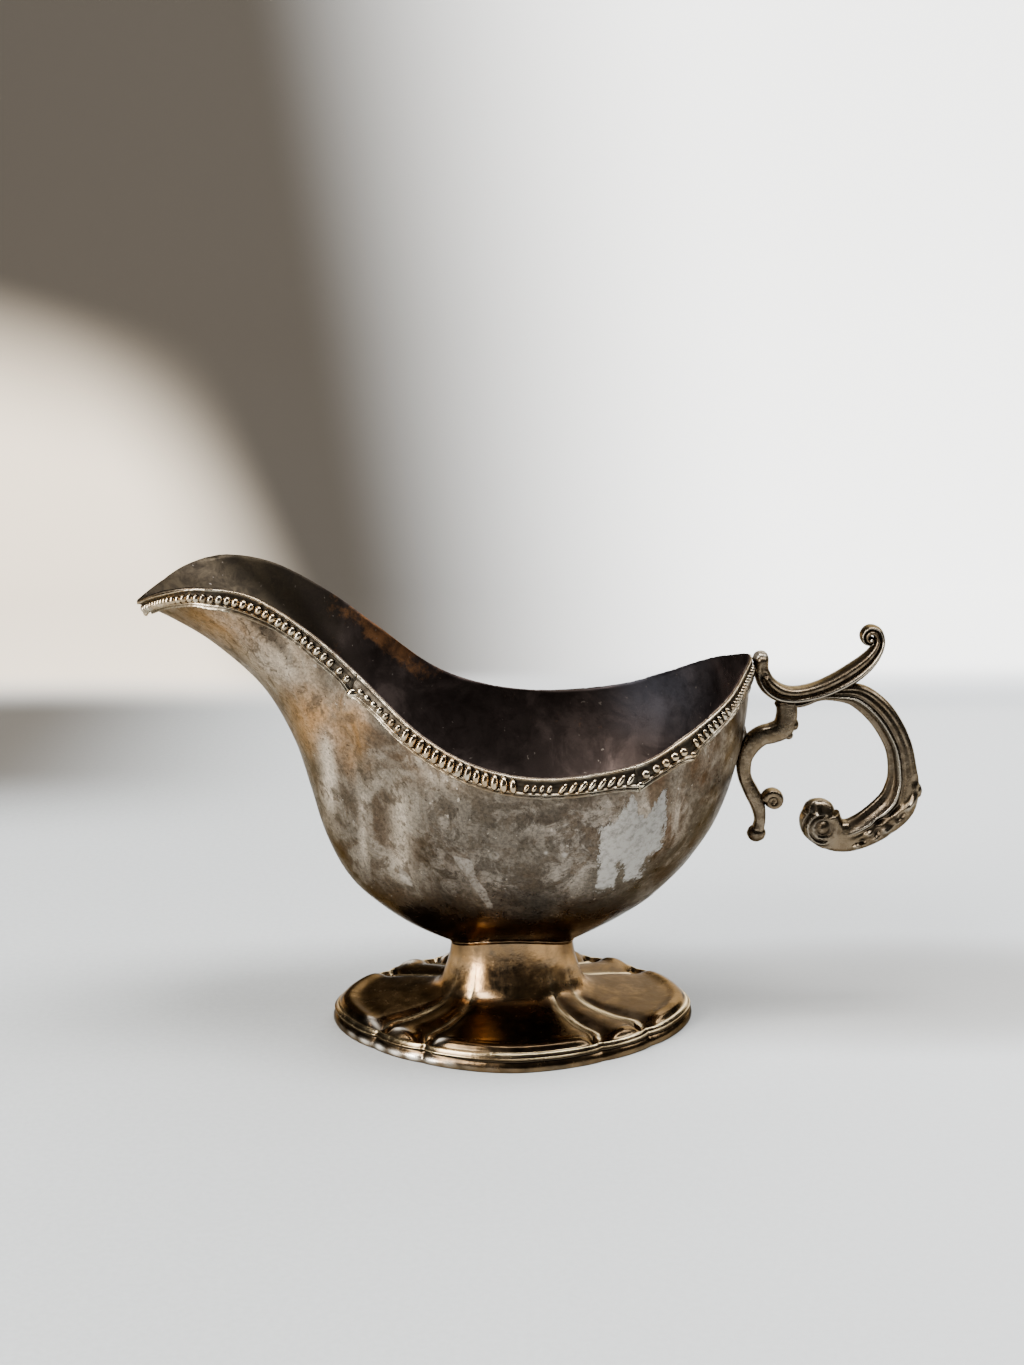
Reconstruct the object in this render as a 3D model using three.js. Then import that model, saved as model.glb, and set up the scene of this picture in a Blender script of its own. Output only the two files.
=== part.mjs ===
// A footed sauce boat in worn silver plate: a raised bowl with a long pouring lip, a gadrooned
// border in six strips, a lobed oval foot on a rim band, and a cast scroll handle.
// Millimetres, +Z up. The lip points along -X and the handle along +X.
import * as THREE from "three";

// ---- Driving dimensions ----
const SHEET = 1.2; // raised sheet of the bowl and the foot
const GAP = 0.3; // clearance at every soldered joint
const WALL_GAP = 0.5; // the same against the bowl's curved wall

const LIP_REACH = 90; // foot centre to the tip of the lip
const BACK_REACH = 58.8; // foot centre to the bowl's back, where the handle sits
const BOWL_WIDTH = 90; // across the rim at its widest
const SEAT_HEIGHT = 20.6; // table to the underside of the bowl, along its keel
const SEAT_SADDLE = 3.2; // how much higher the seat is at its sides, round the hull
const RIM_LOW = 53; // seat to the lowest stretch of the rim
const RIM_CREST = 93.6; // seat to the crest of the spout

const BORDER_DEPTH = 4.6; // down the wall from the rim
const BORDER_PROUD = 1.9; // out from the wall
const CUSP_DROP = 1.7; // how much deeper the border hangs at its cusps
const CUSP_SPREAD = 2.4;

const FOOT_LENGTH = 89.6;
const FOOT_WIDTH = 76.6;
const FOOT_SHOULDER = 4.7; // table to the crown of the lobes
const STEM_LENGTH = 30.4;
const STEM_WIDTH = 24;
const FOOT_BAND_HEIGHT = 3;
const FOOT_BAND_WIDTH = 2.2;
const FOOT_BAND_PROUD = 0.5; // beyond the edge of the foot
const LOBE_NOTCH = 1.1; // depth of the notches between the foot's lobes

const HANDLE_DEPTH = 6.4; // across the scrolls, in Y
const BRACKET_DEPTH = 5.2;
const FILLET = 1.1; // size of a solder fillet

// ---- Colours ----
const WORN_PLATE = { color: 0x8f8779, roughness: 0.38, metalness: 1 };
const BARE_BRASS = { color: 0xa07d4e, roughness: 0.3, metalness: 1 };
const CAST_METAL = { color: 0x83745c, roughness: 0.36, metalness: 1 };
const SOLDER = { color: 0xb3ad9f, roughness: 0.5, metalness: 1 };

// ---- The bowl's shape ----
// Stations along one half of the rim, from the lip to the back. The first three numbers place the
// rim: along (share of the reach on that side), out (share of the half width) and up (from the low
// rim at 0 to the crest at 1). The next three place the belly's control point: along, out, and its
// height as a share of the rim's height over the seat. The last is the way round the hull, in
// degrees from the lip.
const RIM_STATIONS = [
  [-1, 0, 0.82, -0.29, 0, 0.67, 0],
  [-0.96, 0.19, 0.88, -0.285, 0.2, 0.64, 20],
  [-0.89, 0.41, 0.96, -0.28, 0.36, 0.61, 38],
  [-0.79, 0.53, 1, -0.275, 0.46, 0.575, 50],
  [-0.66, 0.53, 0.95, -0.27, 0.54, 0.54, 60],
  [-0.51, 0.6, 0.75, -0.27, 0.64, 0.505, 68],
  [-0.39, 0.68, 0.53, -0.26, 0.74, 0.49, 75],
  [-0.23, 0.84, 0.22, -0.19, 0.88, 0.515, 80.5],
  [-0.08, 0.96, 0.06, -0.08, 0.98, 0.55, 87],
  [0.15, 1, 0, 0.15, 1.03, 0.55, 97],
  [0.48, 0.93, 0.05, 0.48, 0.96, 0.55, 112],
  [0.68, 0.77, 0.165, 0.7, 0.8, 0.515, 125],
  [0.86, 0.53, 0.31, 0.87, 0.55, 0.49, 141],
  [0.96, 0.22, 0.41, 0.96, 0.24, 0.49, 161],
  [1, 0, 0.456, 0.985, 0, 0.496, 180],
];
const LIP = 0; // station numbers where the border's strips meet
const SPOUT_CUSP = 6;
const BACK_CUSP = 10;
const BACK = RIM_STATIONS.length - 1;
const LOOP = 2 * BACK; // stations in the whole rim, near half and far half
const CUSPS = [SPOUT_CUSP, BACK_CUSP, BACK_CUSP + 1];

// The low control points of the hull: how far out they lie (shares, as in the stations), and how
// far they stand above the seat.
const HULL = {
  front: { spread: 0.79, rise: 23.5 },
  back: { spread: 0.79, rise: 15.7 },
  side: { spread: 0.622, rise: 10 },
};

const along = (share) => share * (share < 0 ? LIP_REACH : BACK_REACH);
const halfWidth = BOWL_WIDTH / 2;

// What the stations give at a whole number; the far half mirrors the near half.
function stationValues(index) {
  const lap = Math.floor(index / LOOP);
  const place = index - lap * LOOP;
  const side = place <= BACK ? -1 : 1;
  const [a, o, up, a2, o2, share, turn] = RIM_STATIONS[side < 0 ? place : LOOP - place];
  const height = RIM_LOW + up * (RIM_CREST - RIM_LOW);
  return {
    rim: new THREE.Vector3(along(a), side * o * halfWidth, SEAT_HEIGHT + height),
    belly: new THREE.Vector3(along(a2), side * o2 * halfWidth, SEAT_HEIGHT + share * height),
    turn: new THREE.Vector3(360 * lap + (side < 0 ? turn : 360 - turn), 0, 0),
  };
}

// Catmull-Rom through the stations, for one of their values.
function alongStations(s, which) {
  const i = Math.floor(s);
  const f = s - i;
  const [p, q, r, t] = [-1, 0, 1, 2].map((k) => stationValues(i + k)[which]);
  const blend = (axis) =>
    q[axis] +
    0.5 * f * (r[axis] - p[axis] +
      f * (2 * p[axis] - 5 * q[axis] + 4 * r[axis] - t[axis] +
        f * (3 * (q[axis] - r[axis]) + t[axis] - p[axis])));
  return new THREE.Vector3(blend("x"), blend("y"), blend("z"));
}

// The bowl's outer face: s runs round the rim in stations, t from the stem (0) to the rim (1).
function meridian(s) {
  const angle = Math.PI + THREE.MathUtils.degToRad(alongStations(s, "turn").x);
  const [c, n] = [Math.cos(angle), Math.sin(angle)];
  const end = c < 0 ? HULL.front : HULL.back;
  const low = new THREE.Vector3(
    end.spread * (c < 0 ? LIP_REACH : BACK_REACH) * c,
    HULL.side.spread * halfWidth * n,
    SEAT_HEIGHT + end.rise * c * c + HULL.side.rise * n * n,
  );
  return new THREE.CubicBezierCurve3(
    seatPoint(angle), low, alongStations(s, "belly"), alongStations(s, "rim"));
}
// The seam between the bowl and the stem, an oval that climbs at its sides.
function seatPoint(angle) {
  const [c, n] = [Math.cos(angle), Math.sin(angle)];
  return new THREE.Vector3(
    (STEM_LENGTH / 2) * c, (STEM_WIDTH / 2) * n, SEAT_HEIGHT + SEAT_SADDLE * n * n);
}
const outerFace = (s, t) => meridian(s).getPoint(t);

// A point that stands off a face by a distance, along the face's outward normal.
function standOff(face, u, v, distance, towards = 1) {
  const step = 1e-3;
  const du = face(u + step, v).sub(face(u - step, v));
  const dv = face(u, Math.min(v + step, 1)).sub(face(u, Math.max(v - step, 0)));
  const normal = du.cross(dv).normalize();
  return face(u, v).addScaledVector(normal, towards * distance);
}

// ---- Meshes from rings of points ----
// Rings of equal length become one closed body. Open lofts get a fan at each end, and a closed
// loft joins its last ring to its first.
function loft(rings, { closed = false } = {}) {
  const n = rings[0].length;
  const points = rings.flat();
  const faces = [];
  const bands = closed ? rings.length : rings.length - 1;
  for (let i = 0; i < bands; i++) {
    const [a, b] = [i * n, ((i + 1) % rings.length) * n];
    for (let j = 0; j < n; j++) {
      const k = (j + 1) % n;
      faces.push(a + j, a + k, b + k, a + j, b + k, b + j);
    }
  }
  if (!closed) {
    for (const [start, turn] of [[0, 1], [(rings.length - 1) * n, -1]]) {
      const centre = new THREE.Vector3();
      for (let j = 0; j < n; j++) centre.addScaledVector(points[start + j], 1 / n);
      const middle = points.push(centre) - 1;
      for (let j = 0; j < n; j++) {
        const pair = [start + j, start + ((j + 1) % n)];
        faces.push(middle, ...(turn > 0 ? pair.reverse() : pair));
      }
    }
  }
  const geometry = new THREE.BufferGeometry().setFromPoints(points);
  geometry.setIndex(signedVolume(points, faces) < 0 ? faces.reverse() : faces);
  return geometry;
}

function signedVolume(points, faces) {
  let sum = 0;
  for (let i = 0; i < faces.length; i += 3) {
    const [a, b, c] = [points[faces[i]], points[faces[i + 1]], points[faces[i + 2]]];
    sum += a.dot(new THREE.Vector3().crossVectors(b, c));
  }
  return sum;
}

const spaced = (count, from, to) =>
  Array.from({ length: count + 1 }, (_, i) => from + ((to - from) * i) / count);

// Places round the rim between two stations, spaced by the length of each stretch.
const RIM_STEP = 6;
const SPOUT_STEP = 3; // in the spout's first stations, where the wall turns sharply
const SPOUT_STATIONS = 4;
function rimPlaces(from, to) {
  const places = [];
  for (let i = from; i < to; i++) {
    const length = stationValues(i).rim.distanceTo(stationValues(i + 1).rim);
    const step = i < SPOUT_STATIONS || i >= LOOP - SPOUT_STATIONS ? SPOUT_STEP : RIM_STEP;
    places.push(...spaced(Math.max(1, Math.ceil(length / step)), i, i + 1).slice(0, -1));
  }
  places.push(to);
  return places;
}

// ---- Bowl ----
function bowlGeometry() {
  const places = rimPlaces(0, LOOP).slice(0, -1);
  const levels = spaced(12, 0, 1).map((t) => 1 - (1 - t) ** 1.3);
  const floorShares = [0.4, 0.75]; // rings on the floor, inside the stem's outline
  const ring = (distance, t) => places.map((s) => standOff(outerFace, s, t, -distance, OUTWARD));
  const floor = (share, lift) => ring(0, 0).map((p) => floorPoint(p, share, lift));
  const outside = [...floorShares.map((q) => floor(q, 0)), ...levels.map((t) => ring(0, t))];
  const inside = [...floorShares.map((q) => floor(q, SHEET)), ...levels.map((t) => ring(SHEET, t))];
  return loft([...outside, ...inside.reverse()]);
}
// The floor inside the seat's seam is a shallow saddle; share is the way out to a point of the seam.
function floorPoint(seam, share, lift) {
  const z = SEAT_HEIGHT + (seam.z - SEAT_HEIGHT) * share * share + lift;
  return new THREE.Vector3(seam.x * share, seam.y * share, z);
}
// The cross product of the face's two directions points into the bowl, so outward is its reverse.
const OUTWARD = outwardSign();
function outwardSign() {
  const side = BACK * 0.65;
  const out = standOff(outerFace, side, 0.7, 1).distanceTo(new THREE.Vector3(0, 0, SEAT_HEIGHT + RIM_LOW));
  const on = outerFace(side, 0.7).distanceTo(new THREE.Vector3(0, 0, SEAT_HEIGHT + RIM_LOW));
  return out > on ? 1 : -1;
}

// ---- Border strips ----
// Section of a strip: distance out from the wall and distance down from the rim, as shares.
const BORDER_SECTION = [
  [0, 0],
  [0.45, 0.02],
  [0.95, 0.28],
  [1, 0.55],
  [0.6, 0.85],
  [0.45, 1],
  [0, 1],
  [0, 0.67],
  [0, 0.33],
];
function borderStrip(from, to, startCut = GAP, endCut = GAP) {
  const places = rimPlaces(from, to);
  places[0] += stationShare(from, startCut);
  places[places.length - 1] -= stationShare(to - 1, endCut);
  const rings = places.map((s) =>
    BORDER_SECTION.map(([out, down]) => {
      const [u, v] = downTheWall(s, down * borderDepth(s));
      return standOff(outerFace, u, v, WALL_GAP + out * (BORDER_PROUD - WALL_GAP), OUTWARD);
    }));
  return loft(rings);
}
// The place on the wall that lies a distance below the rim, square to the rim's run.
function downTheWall(s, distance) {
  const step = 1e-3;
  const upwards = outerFace(s, 1).sub(outerFace(s, 1 - step)).divideScalar(step);
  const onwards = outerFace(s + step, 1).sub(outerFace(s - step, 1)).divideScalar(2 * step);
  const slant = upwards.dot(onwards) / onwards.lengthSq();
  const turn = distance / upwards.addScaledVector(onwards, -slant).length();
  return [s + slant * turn, 1 - turn];
}
// How far down the wall the border hangs; it is deepest at its cusps.
function borderDepth(s) {
  const near = s > BACK ? LOOP - s : s;
  const drop = CUSPS.reduce((sum, cusp) => {
    const away = Math.abs(near - cusp) / stationShare(cusp, 1);
    return sum + Math.exp(-away / CUSP_SPREAD);
  }, 0);
  return BORDER_DEPTH + CUSP_DROP * drop;
}
// A length along the rim as a share of the stretch after a station.
function stationShare(station, length) {
  return length / stationValues(station).rim.distanceTo(stationValues(station + 1).rim);
}

// ---- Foot ----
const CREASES = [33.3, 55.4].flatMap((a) => [a, 180 - a, 180 + a, 360 - a]).map(THREE.MathUtils.degToRad);
const OVAL_POWER = 1.75; // below 2, so the ends of the oval are drawn to a point
const NOTCH_SPREAD = 0.055; // radians

// Outline of the foot at an angle, grown by a distance and notched between the lobes.
function footOutline(angle, grow = 0, notch = LOBE_NOTCH) {
  const [c, n] = [Math.cos(angle), Math.sin(angle)];
  const [a, b] = [FOOT_LENGTH / 2, FOOT_WIDTH / 2];
  const radius = (Math.abs(c / a) ** OVAL_POWER + Math.abs(n / b) ** OVAL_POWER) ** (-1 / OVAL_POWER);
  const cut = CREASES.reduce((sum, crease) => sum + Math.exp(-Math.abs(turnBetween(angle, crease)) / NOTCH_SPREAD), 0);
  const r = radius + grow - notch * cut;
  return new THREE.Vector2(r * c, r * n);
}
const turnBetween = (a, b) => Math.atan2(Math.sin(a - b), Math.cos(a - b));

// Profile of the foot from its edge (0) to the top of the stem (1): share of the way in to the
// stem's outline, and share of the way up. The first few points make the lobes' crown.
const FOOT_EDGE = FOOT_BAND_HEIGHT + GAP;
const CROWN = (FOOT_SHOULDER - FOOT_EDGE) / (SEAT_HEIGHT - FOOT_EDGE);
const footProfile = new THREE.SplineCurve([
  new THREE.Vector2(0, 0),
  new THREE.Vector2(0.05, 0.6 * CROWN),
  new THREE.Vector2(0.2, CROWN),
  new THREE.Vector2(0.48, CROWN + 0.05),
  new THREE.Vector2(0.73, CROWN + 0.11),
  new THREE.Vector2(0.88, CROWN + 0.24),
  new THREE.Vector2(0.95, 0.58),
  new THREE.Vector2(0.985, 0.8),
  new THREE.Vector2(1, 1),
]);
function footFace(angle, v) {
  const { x: share, y: climb } = footProfile.getPoint(v);
  const edge = footOutline(angle);
  const top = seatPoint(angle);
  const at = edge.lerp(new THREE.Vector2(top.x, top.y), share);
  return new THREE.Vector3(at.x, at.y, FOOT_EDGE + climb * (top.z - GAP - FOOT_EDGE));
}
// Angles round the foot, with one on each crease.
function footAngles() {
  const marks = [...CREASES, 0, Math.PI / 2, Math.PI, 1.5 * Math.PI].sort((a, b) => a - b);
  return marks.flatMap((mark, i) => {
    const next = i + 1 < marks.length ? marks[i + 1] : marks[0] + 2 * Math.PI;
    return spaced(Math.max(2, Math.round((next - mark) / 0.11)), mark, next).slice(0, -1);
  });
}
function footGeometry() {
  const levels = [0, 0.06, 0.125, 0.25, 0.42, 0.56, 0.69, 0.8, 0.9, 1];
  const angles = footAngles();
  const outside = levels.map((v) => angles.map((a) => footFace(a, v)));
  const inward = levels.filter((v) => v === 0 || v > 0.1); // the crown's turn is too tight inside
  const inside = inward.map((v) => angles.map((a) => insideFoot(a, v)));
  return loft([...outside, ...inside.reverse()], { closed: true });
}
// The inner face of the foot: a sheet's thickness in, level over the band, and under the bowl's
// floor at the top.
function insideFoot(angle, v) {
  const level = footFace(angle, v);
  const share = 1 - SHEET / Math.hypot(level.x, level.y);
  if (v === 0) return new THREE.Vector3(level.x * share, level.y * share, level.z);
  if (v === 1) return floorPoint(seatPoint(angle), share, -GAP);
  const inside = standOff(footFace, angle, v, SHEET, -1);
  inside.z = Math.max(inside.z, FOOT_EDGE);
  return inside;
}

function footBandGeometry() {
  const angles = footAngles();
  const ring = (grow, z) =>
    angles.map((a) => {
      const p = footOutline(a, grow);
      return new THREE.Vector3(p.x, p.y, z);
    });
  const inner = FOOT_BAND_PROUD - FOOT_BAND_WIDTH;
  return loft([
    ring(FOOT_BAND_PROUD, 0),
    ring(FOOT_BAND_PROUD, 0.7 * FOOT_BAND_HEIGHT),
    ring(FOOT_BAND_PROUD - 0.4, FOOT_BAND_HEIGHT),
    ring(inner, FOOT_BAND_HEIGHT),
    ring(inner, 0),
  ], { closed: true });
}

// ---- Handle ----
// A scroll's line in the XZ plane with half widths: [x, z, half width]. X and Z are measured from
// the back of the rim, so the handle follows the bowl.
const HANDLE_TOP = stationValues(BACK).rim;
const fromRim = ([x, z, w]) => [HANDLE_TOP.x + x, HANDLE_TOP.z + z, w];

const THUMB_SCROLL = [
  [2.6, -0.9, 2],
  [2.7, -3.4, 1.8],
  [4.1, -6.5, 1.9],
  [6.8, -8.6, 1.8],
  [9.8, -9.3, 1.7],
  [13, -9.2, 1.7],
  [17, -8.2, 1.75],
  [21, -6.5, 2],
  [25, -4.2, 2.05],
  [28.2, -1.6, 1.85],
  [30.5, 1, 1.55],
  [31.5, 3.4, 1.35],
  [30.9, 5.7, 1.25],
  [29, 6.4, 1.25],
  [27.9, 5.2, 1.15],
];
const C_SCROLL = [
  [7.1, -12, 0.6],
  [9.2, -12.35, 0.75],
  [12, -12.35, 0.8],
  [15.7, -11.5, 0.95],
  [19.7, -10.8, 1.15],
  [23.8, -10.3, 1.75],
  [28.2, -11.6, 2.35],
  [32.4, -15.1, 2.6],
  [35.8, -19.8, 2.9],
  [37.7, -25.1, 3.2],
  [38.1, -30.1, 3.6],
  [37.7, -34.9, 4.5],
  [35.7, -39.4, 4.8],
  [32.4, -42.9, 4.75],
  [28.8, -45, 4.6],
  [26.6, -45.75, 4.45],
  [25.5, -45.8, 4.4],
];
const SHELL_END = [
  [25, -45.85, 4.4],
  [23.6, -45.85, 4.5],
  [20.4, -44.8, 5],
  [18, -42.4, 5],
  [16.8, -39.4, 3.6],
  [16.9, -37.2, 1.8],
];
// The bracket: an arm from under the scrolls to the wall, a stretch along the wall, and a tail.
const BRACKET_ARM = [
  [9.6, -13.45, 2.3],
  [9.5, -16.2, 2.3],
  [8.4, -18.8, 2.3],
  [6, -20, 2.3],
  [3.2, -21, 2.2],
];
const WALL_HUG = { from: -23.2, to: -27.4, width: 1.7 }; // heights below the rim
const BRACKET_TAIL = [
  [1.1, -32.2, 1.6],
  [2.2, -36.2, 1.65],
  [3.5, -40.4, 1.6],
  [3.3, -44.8, 2.3],
];
const TAIL_CURL = { x: 7.1, z: -35.9, radius: 2.75, depth: 4.6 };
const SCROLL_SOLDER = { drop: -7.6, height: 3, width: 4.6, thickness: 1.2 };
const BRACKET_SOLDER = { drop: -16.6, height: 2.2, width: 4.4, thickness: 1.3 };

// A body of round section drawn along a line, with its ends rounded over.
function scroll(stations, depth, { sides = 10, steps = 2, roundStart = true, roundEnd = true } = {}) {
  const line = new THREE.CatmullRomCurve3(stations.map(([x, z]) => new THREE.Vector3(x, 0, z)));
  const widths = new THREE.SplineCurve(stations.map(([, , w], i) => new THREE.Vector2(i, w)));
  const count = (stations.length - 1) * steps;
  const widest = Math.max(...stations.map(([, , w]) => w));
  const ringAt = (u, share, ahead) => {
    const at = line.getPoint(u);
    const tangent = line.getTangent(u);
    const across = new THREE.Vector3(-tangent.z, 0, tangent.x);
    const w = widths.getPoint(u).y;
    const d = (depth / 2) * (0.55 + (0.45 * w) / widest);
    at.addScaledVector(tangent, ahead * w);
    return spaced(sides, 0, 2 * Math.PI).slice(0, -1).map((a) =>
      at.clone()
        .addScaledVector(across, share * w * Math.cos(a))
        .add(new THREE.Vector3(0, share * d * Math.sin(a), 0)));
  };
  const rings = spaced(count, 0, 1).map((u) => ringAt(u, 1, 0));
  if (roundStart) rings.unshift(ringAt(0, 0.45, -0.75), ringAt(0, 0.8, -0.45));
  if (roundEnd) rings.push(ringAt(1, 0.8, 0.45), ringAt(1, 0.45, 0.75));
  return loft(rings);
}

// Where the wall's outer face stands on the middle plane at the back, at a height below the rim.
function wallAt(drop) {
  const line = meridian(BACK);
  let [low, high] = [0, 1];
  for (let i = 0; i < 40; i++) {
    const middle = (low + high) / 2;
    if (line.getPoint(middle).z < HANDLE_TOP.z + drop) low = middle;
    else high = middle;
  }
  return line.getPoint(low).x - HANDLE_TOP.x;
}
function bracketStations() {
  const hug = spaced(2, WALL_HUG.from, WALL_HUG.to).map((drop) => [
    wallAt(drop) + WALL_GAP + WALL_HUG.width, drop, WALL_HUG.width,
  ]);
  return [...BRACKET_ARM, ...hug, ...BRACKET_TAIL];
}
// A small round button of metal, flat at its sides.
function button({ x, z, radius, depth }) {
  const rings = [[-1, 0.75], [-0.6, 1], [0.6, 1], [1, 0.75]].map(([across, share]) =>
    spaced(14, 0, 2 * Math.PI).slice(0, -1).map((a) => new THREE.Vector3(
      HANDLE_TOP.x + x + share * radius * Math.cos(a), (across * depth) / 2,
      HANDLE_TOP.z + z + share * radius * Math.sin(a))));
  return loft(rings);
}

// ---- Solder fillets ----
function footFillet() {
  const angles = footAngles();
  const ring = (out, down) =>
    angles.map((a) => {
      const p = seatPoint(a);
      const reach = 1 + out / Math.hypot(p.x, p.y);
      return new THREE.Vector3(p.x * reach, p.y * reach, p.z - down);
    });
  return loft([
    ring(GAP, GAP), ring(GAP + FILLET, 0), ring(GAP + 0.15 * FILLET, GAP + FILLET),
  ], { closed: true });
}
// A pad of solder on the wall, thickest at its middle; its drop is its top below the rim.
function wallPad({ drop, height, width, thickness }) {
  const rings = [[0, 0.4], [0.5, 1], [1, 0.4]].map(([share, fullness]) => {
    const level = drop - share * height;
    const x = HANDLE_TOP.x + wallAt(level) + WALL_GAP;
    return [[-1, 0], [1, 0], [0.6, 1], [-0.6, 1]].map(([across, out]) => new THREE.Vector3(
      x + out * fullness * thickness, (across * width) / 2, HANDLE_TOP.z + level));
  });
  return loft(rings);
}

// ---- Assembly ----
const object = new THREE.Group();
function add(name, geometry, finish) {
  const mesh = new THREE.Mesh(geometry, new THREE.MeshStandardMaterial(finish));
  mesh.name = name;
  object.add(mesh);
}

add("bowl", bowlGeometry(), WORN_PLATE);

const CLEAR_OF_HANDLE = HANDLE_DEPTH / 2 + GAP;
const STRIPS = { spout: [LIP, SPOUT_CUSP], side: [SPOUT_CUSP, BACK_CUSP], back: [BACK_CUSP, BACK] };
for (const [name, [from, to]] of Object.entries(STRIPS)) {
  const cut = to === BACK ? CLEAR_OF_HANDLE : GAP;
  add(`border_${name}_near`, borderStrip(from, to, GAP, cut), WORN_PLATE);
  add(`border_${name}_far`, borderStrip(LOOP - to, LOOP - from, cut, GAP), WORN_PLATE);
}

add("foot", footGeometry(), BARE_BRASS);
add("foot_band", footBandGeometry(), BARE_BRASS);
add("foot_solder", footFillet(), SOLDER);

add("thumb_scroll", scroll(THUMB_SCROLL.map(fromRim), HANDLE_DEPTH), CAST_METAL);
add("c_scroll", scroll(C_SCROLL.map(fromRim), HANDLE_DEPTH, { roundEnd: false }), CAST_METAL);
add("c_scroll_shell", scroll(SHELL_END.map(fromRim), HANDLE_DEPTH * 1.3, { roundStart: false }), CAST_METAL);
add("wall_bracket", scroll(bracketStations().map(fromRim), BRACKET_DEPTH, { roundStart: false }), CAST_METAL);
add("tail_curl", button(TAIL_CURL), CAST_METAL);
add("scroll_solder", wallPad(SCROLL_SOLDER), SOLDER);
add("bracket_solder", wallPad(BRACKET_SOLDER), SOLDER);

object.updateMatrixWorld(true);
const box = new THREE.Box3().setFromObject(object, true);
object.position.x = -(box.min.x + box.max.x) / 2; // the origin is under the middle of the object

export default object;
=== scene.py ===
import math

import bmesh
import bpy
import numpy as np
from mathutils import Matrix, Vector


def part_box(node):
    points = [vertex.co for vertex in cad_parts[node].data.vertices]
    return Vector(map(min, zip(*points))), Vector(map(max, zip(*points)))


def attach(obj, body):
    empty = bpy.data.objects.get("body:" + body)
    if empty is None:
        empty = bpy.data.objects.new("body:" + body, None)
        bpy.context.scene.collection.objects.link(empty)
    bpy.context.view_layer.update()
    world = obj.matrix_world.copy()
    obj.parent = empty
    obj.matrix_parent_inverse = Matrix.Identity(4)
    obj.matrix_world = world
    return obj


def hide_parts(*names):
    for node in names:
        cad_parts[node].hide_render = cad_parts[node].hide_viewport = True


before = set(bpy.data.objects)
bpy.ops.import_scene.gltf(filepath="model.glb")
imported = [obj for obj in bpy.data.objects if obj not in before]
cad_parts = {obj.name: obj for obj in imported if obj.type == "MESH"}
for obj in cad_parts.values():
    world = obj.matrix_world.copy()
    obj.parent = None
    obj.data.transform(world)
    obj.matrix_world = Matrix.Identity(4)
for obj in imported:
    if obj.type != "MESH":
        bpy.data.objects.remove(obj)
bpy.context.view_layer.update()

bl_info = {
    "name": "Silver Sauce Boat",
    "version": (1, 0, 0),
    "blender": (4, 5, 0),
    "location": "3D View > Sidebar > Sauce Boat",
    "description": "Builds a worn silver sauce boat, piece by piece, and its stage",
    "category": "Add Mesh",
}


# ---- Sizes and colours ----
def length(name, description, default, **more):
    return bpy.props.FloatProperty(name=name, description=description, default=default, min=0, unit="LENGTH", **more)


def colour(name, description, default):
    return bpy.props.FloatVectorProperty(name=name, description=description, default=default, size=3,
                                         subtype="COLOR", min=0, max=1)


class SauceBoatSettings(bpy.types.PropertyGroup):
    wall: length("Wall", "Thickness of the bowl's sheet", 0.0008)
    dents: length("Dents", "Depth of the soft unevenness in the raised wall", 0.00016)
    pearl: length("Pearl", "Radius of the border's round pearls", 0.00088)
    lobes: length("Lobes", "How far the foot's lobes swell between their creases", 0.0018)
    handle_depth: length("Handle depth", "Thickness of the scrolls from side to side", 0.0064)
    silver: colour("Silver", "The worn plate where it is clean", (0.46, 0.43, 0.375))
    tarnish: colour("Tarnish", "The brown film over the plate", (0.125, 0.1, 0.075))
    brass: colour("Brass", "The bare metal under the plate", (0.62, 0.375, 0.17))
    lining: colour("Lining", "The inside of the bowl", (0.035, 0.026, 0.023))
    window: bpy.props.FloatProperty(name="Window", description="Strength of the soft light from the left",
                                    default=12.0, min=0)


def settings():
    return bpy.context.scene.sauce_boat


def mm(value):
    return value * 1000


# ---- The bowl's shape, in millimetres from the middle of the foot ----
LIP_REACH = 90
BACK_REACH = 58.8
HALF_WIDTH = 45
SEAT_HEIGHT = 20.6
SEAT_SADDLE = 3.2
STEM = (15.2, 12.0)
RIM_LOW = 53
RIM_CREST = 93.6

# along, out and up for the rim; along, out and height share for the belly; way round in degrees
RIM_STATIONS = [
    (-1, 0, 0.82, -0.29, 0, 0.67, 0),
    (-0.96, 0.19, 0.88, -0.285, 0.2, 0.64, 20),
    (-0.89, 0.41, 0.96, -0.28, 0.36, 0.61, 38),
    (-0.79, 0.53, 1, -0.275, 0.46, 0.575, 50),
    (-0.66, 0.53, 0.95, -0.27, 0.54, 0.54, 60),
    (-0.51, 0.6, 0.75, -0.27, 0.64, 0.505, 68),
    (-0.39, 0.68, 0.53, -0.26, 0.74, 0.49, 75),
    (-0.23, 0.84, 0.22, -0.19, 0.88, 0.515, 80.5),
    (-0.08, 0.96, 0.06, -0.08, 0.98, 0.55, 87),
    (0.15, 1, 0, 0.15, 1.03, 0.55, 97),
    (0.48, 0.93, 0.05, 0.48, 0.96, 0.55, 112),
    (0.68, 0.77, 0.165, 0.7, 0.8, 0.515, 125),
    (0.86, 0.53, 0.31, 0.87, 0.55, 0.49, 141),
    (0.96, 0.22, 0.41, 0.96, 0.24, 0.49, 161),
    (1, 0, 0.456, 0.985, 0, 0.496, 180),
]
SPOUT_CUSP, BACK_CUSP, BACK = 6, 10, 14
LOOP = 2 * BACK


def centre_of(node):
    low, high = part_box(node)
    return [mm(a + b) / 2 for a, b in zip(low, high)]


FOOT_AT = centre_of("foot_band")[0]


def row(points):
    """Millimetres from the middle of the foot, as metres in the frame."""
    return (np.asarray(points, float) + (FOOT_AT, 0, 0)) / 1000


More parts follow.
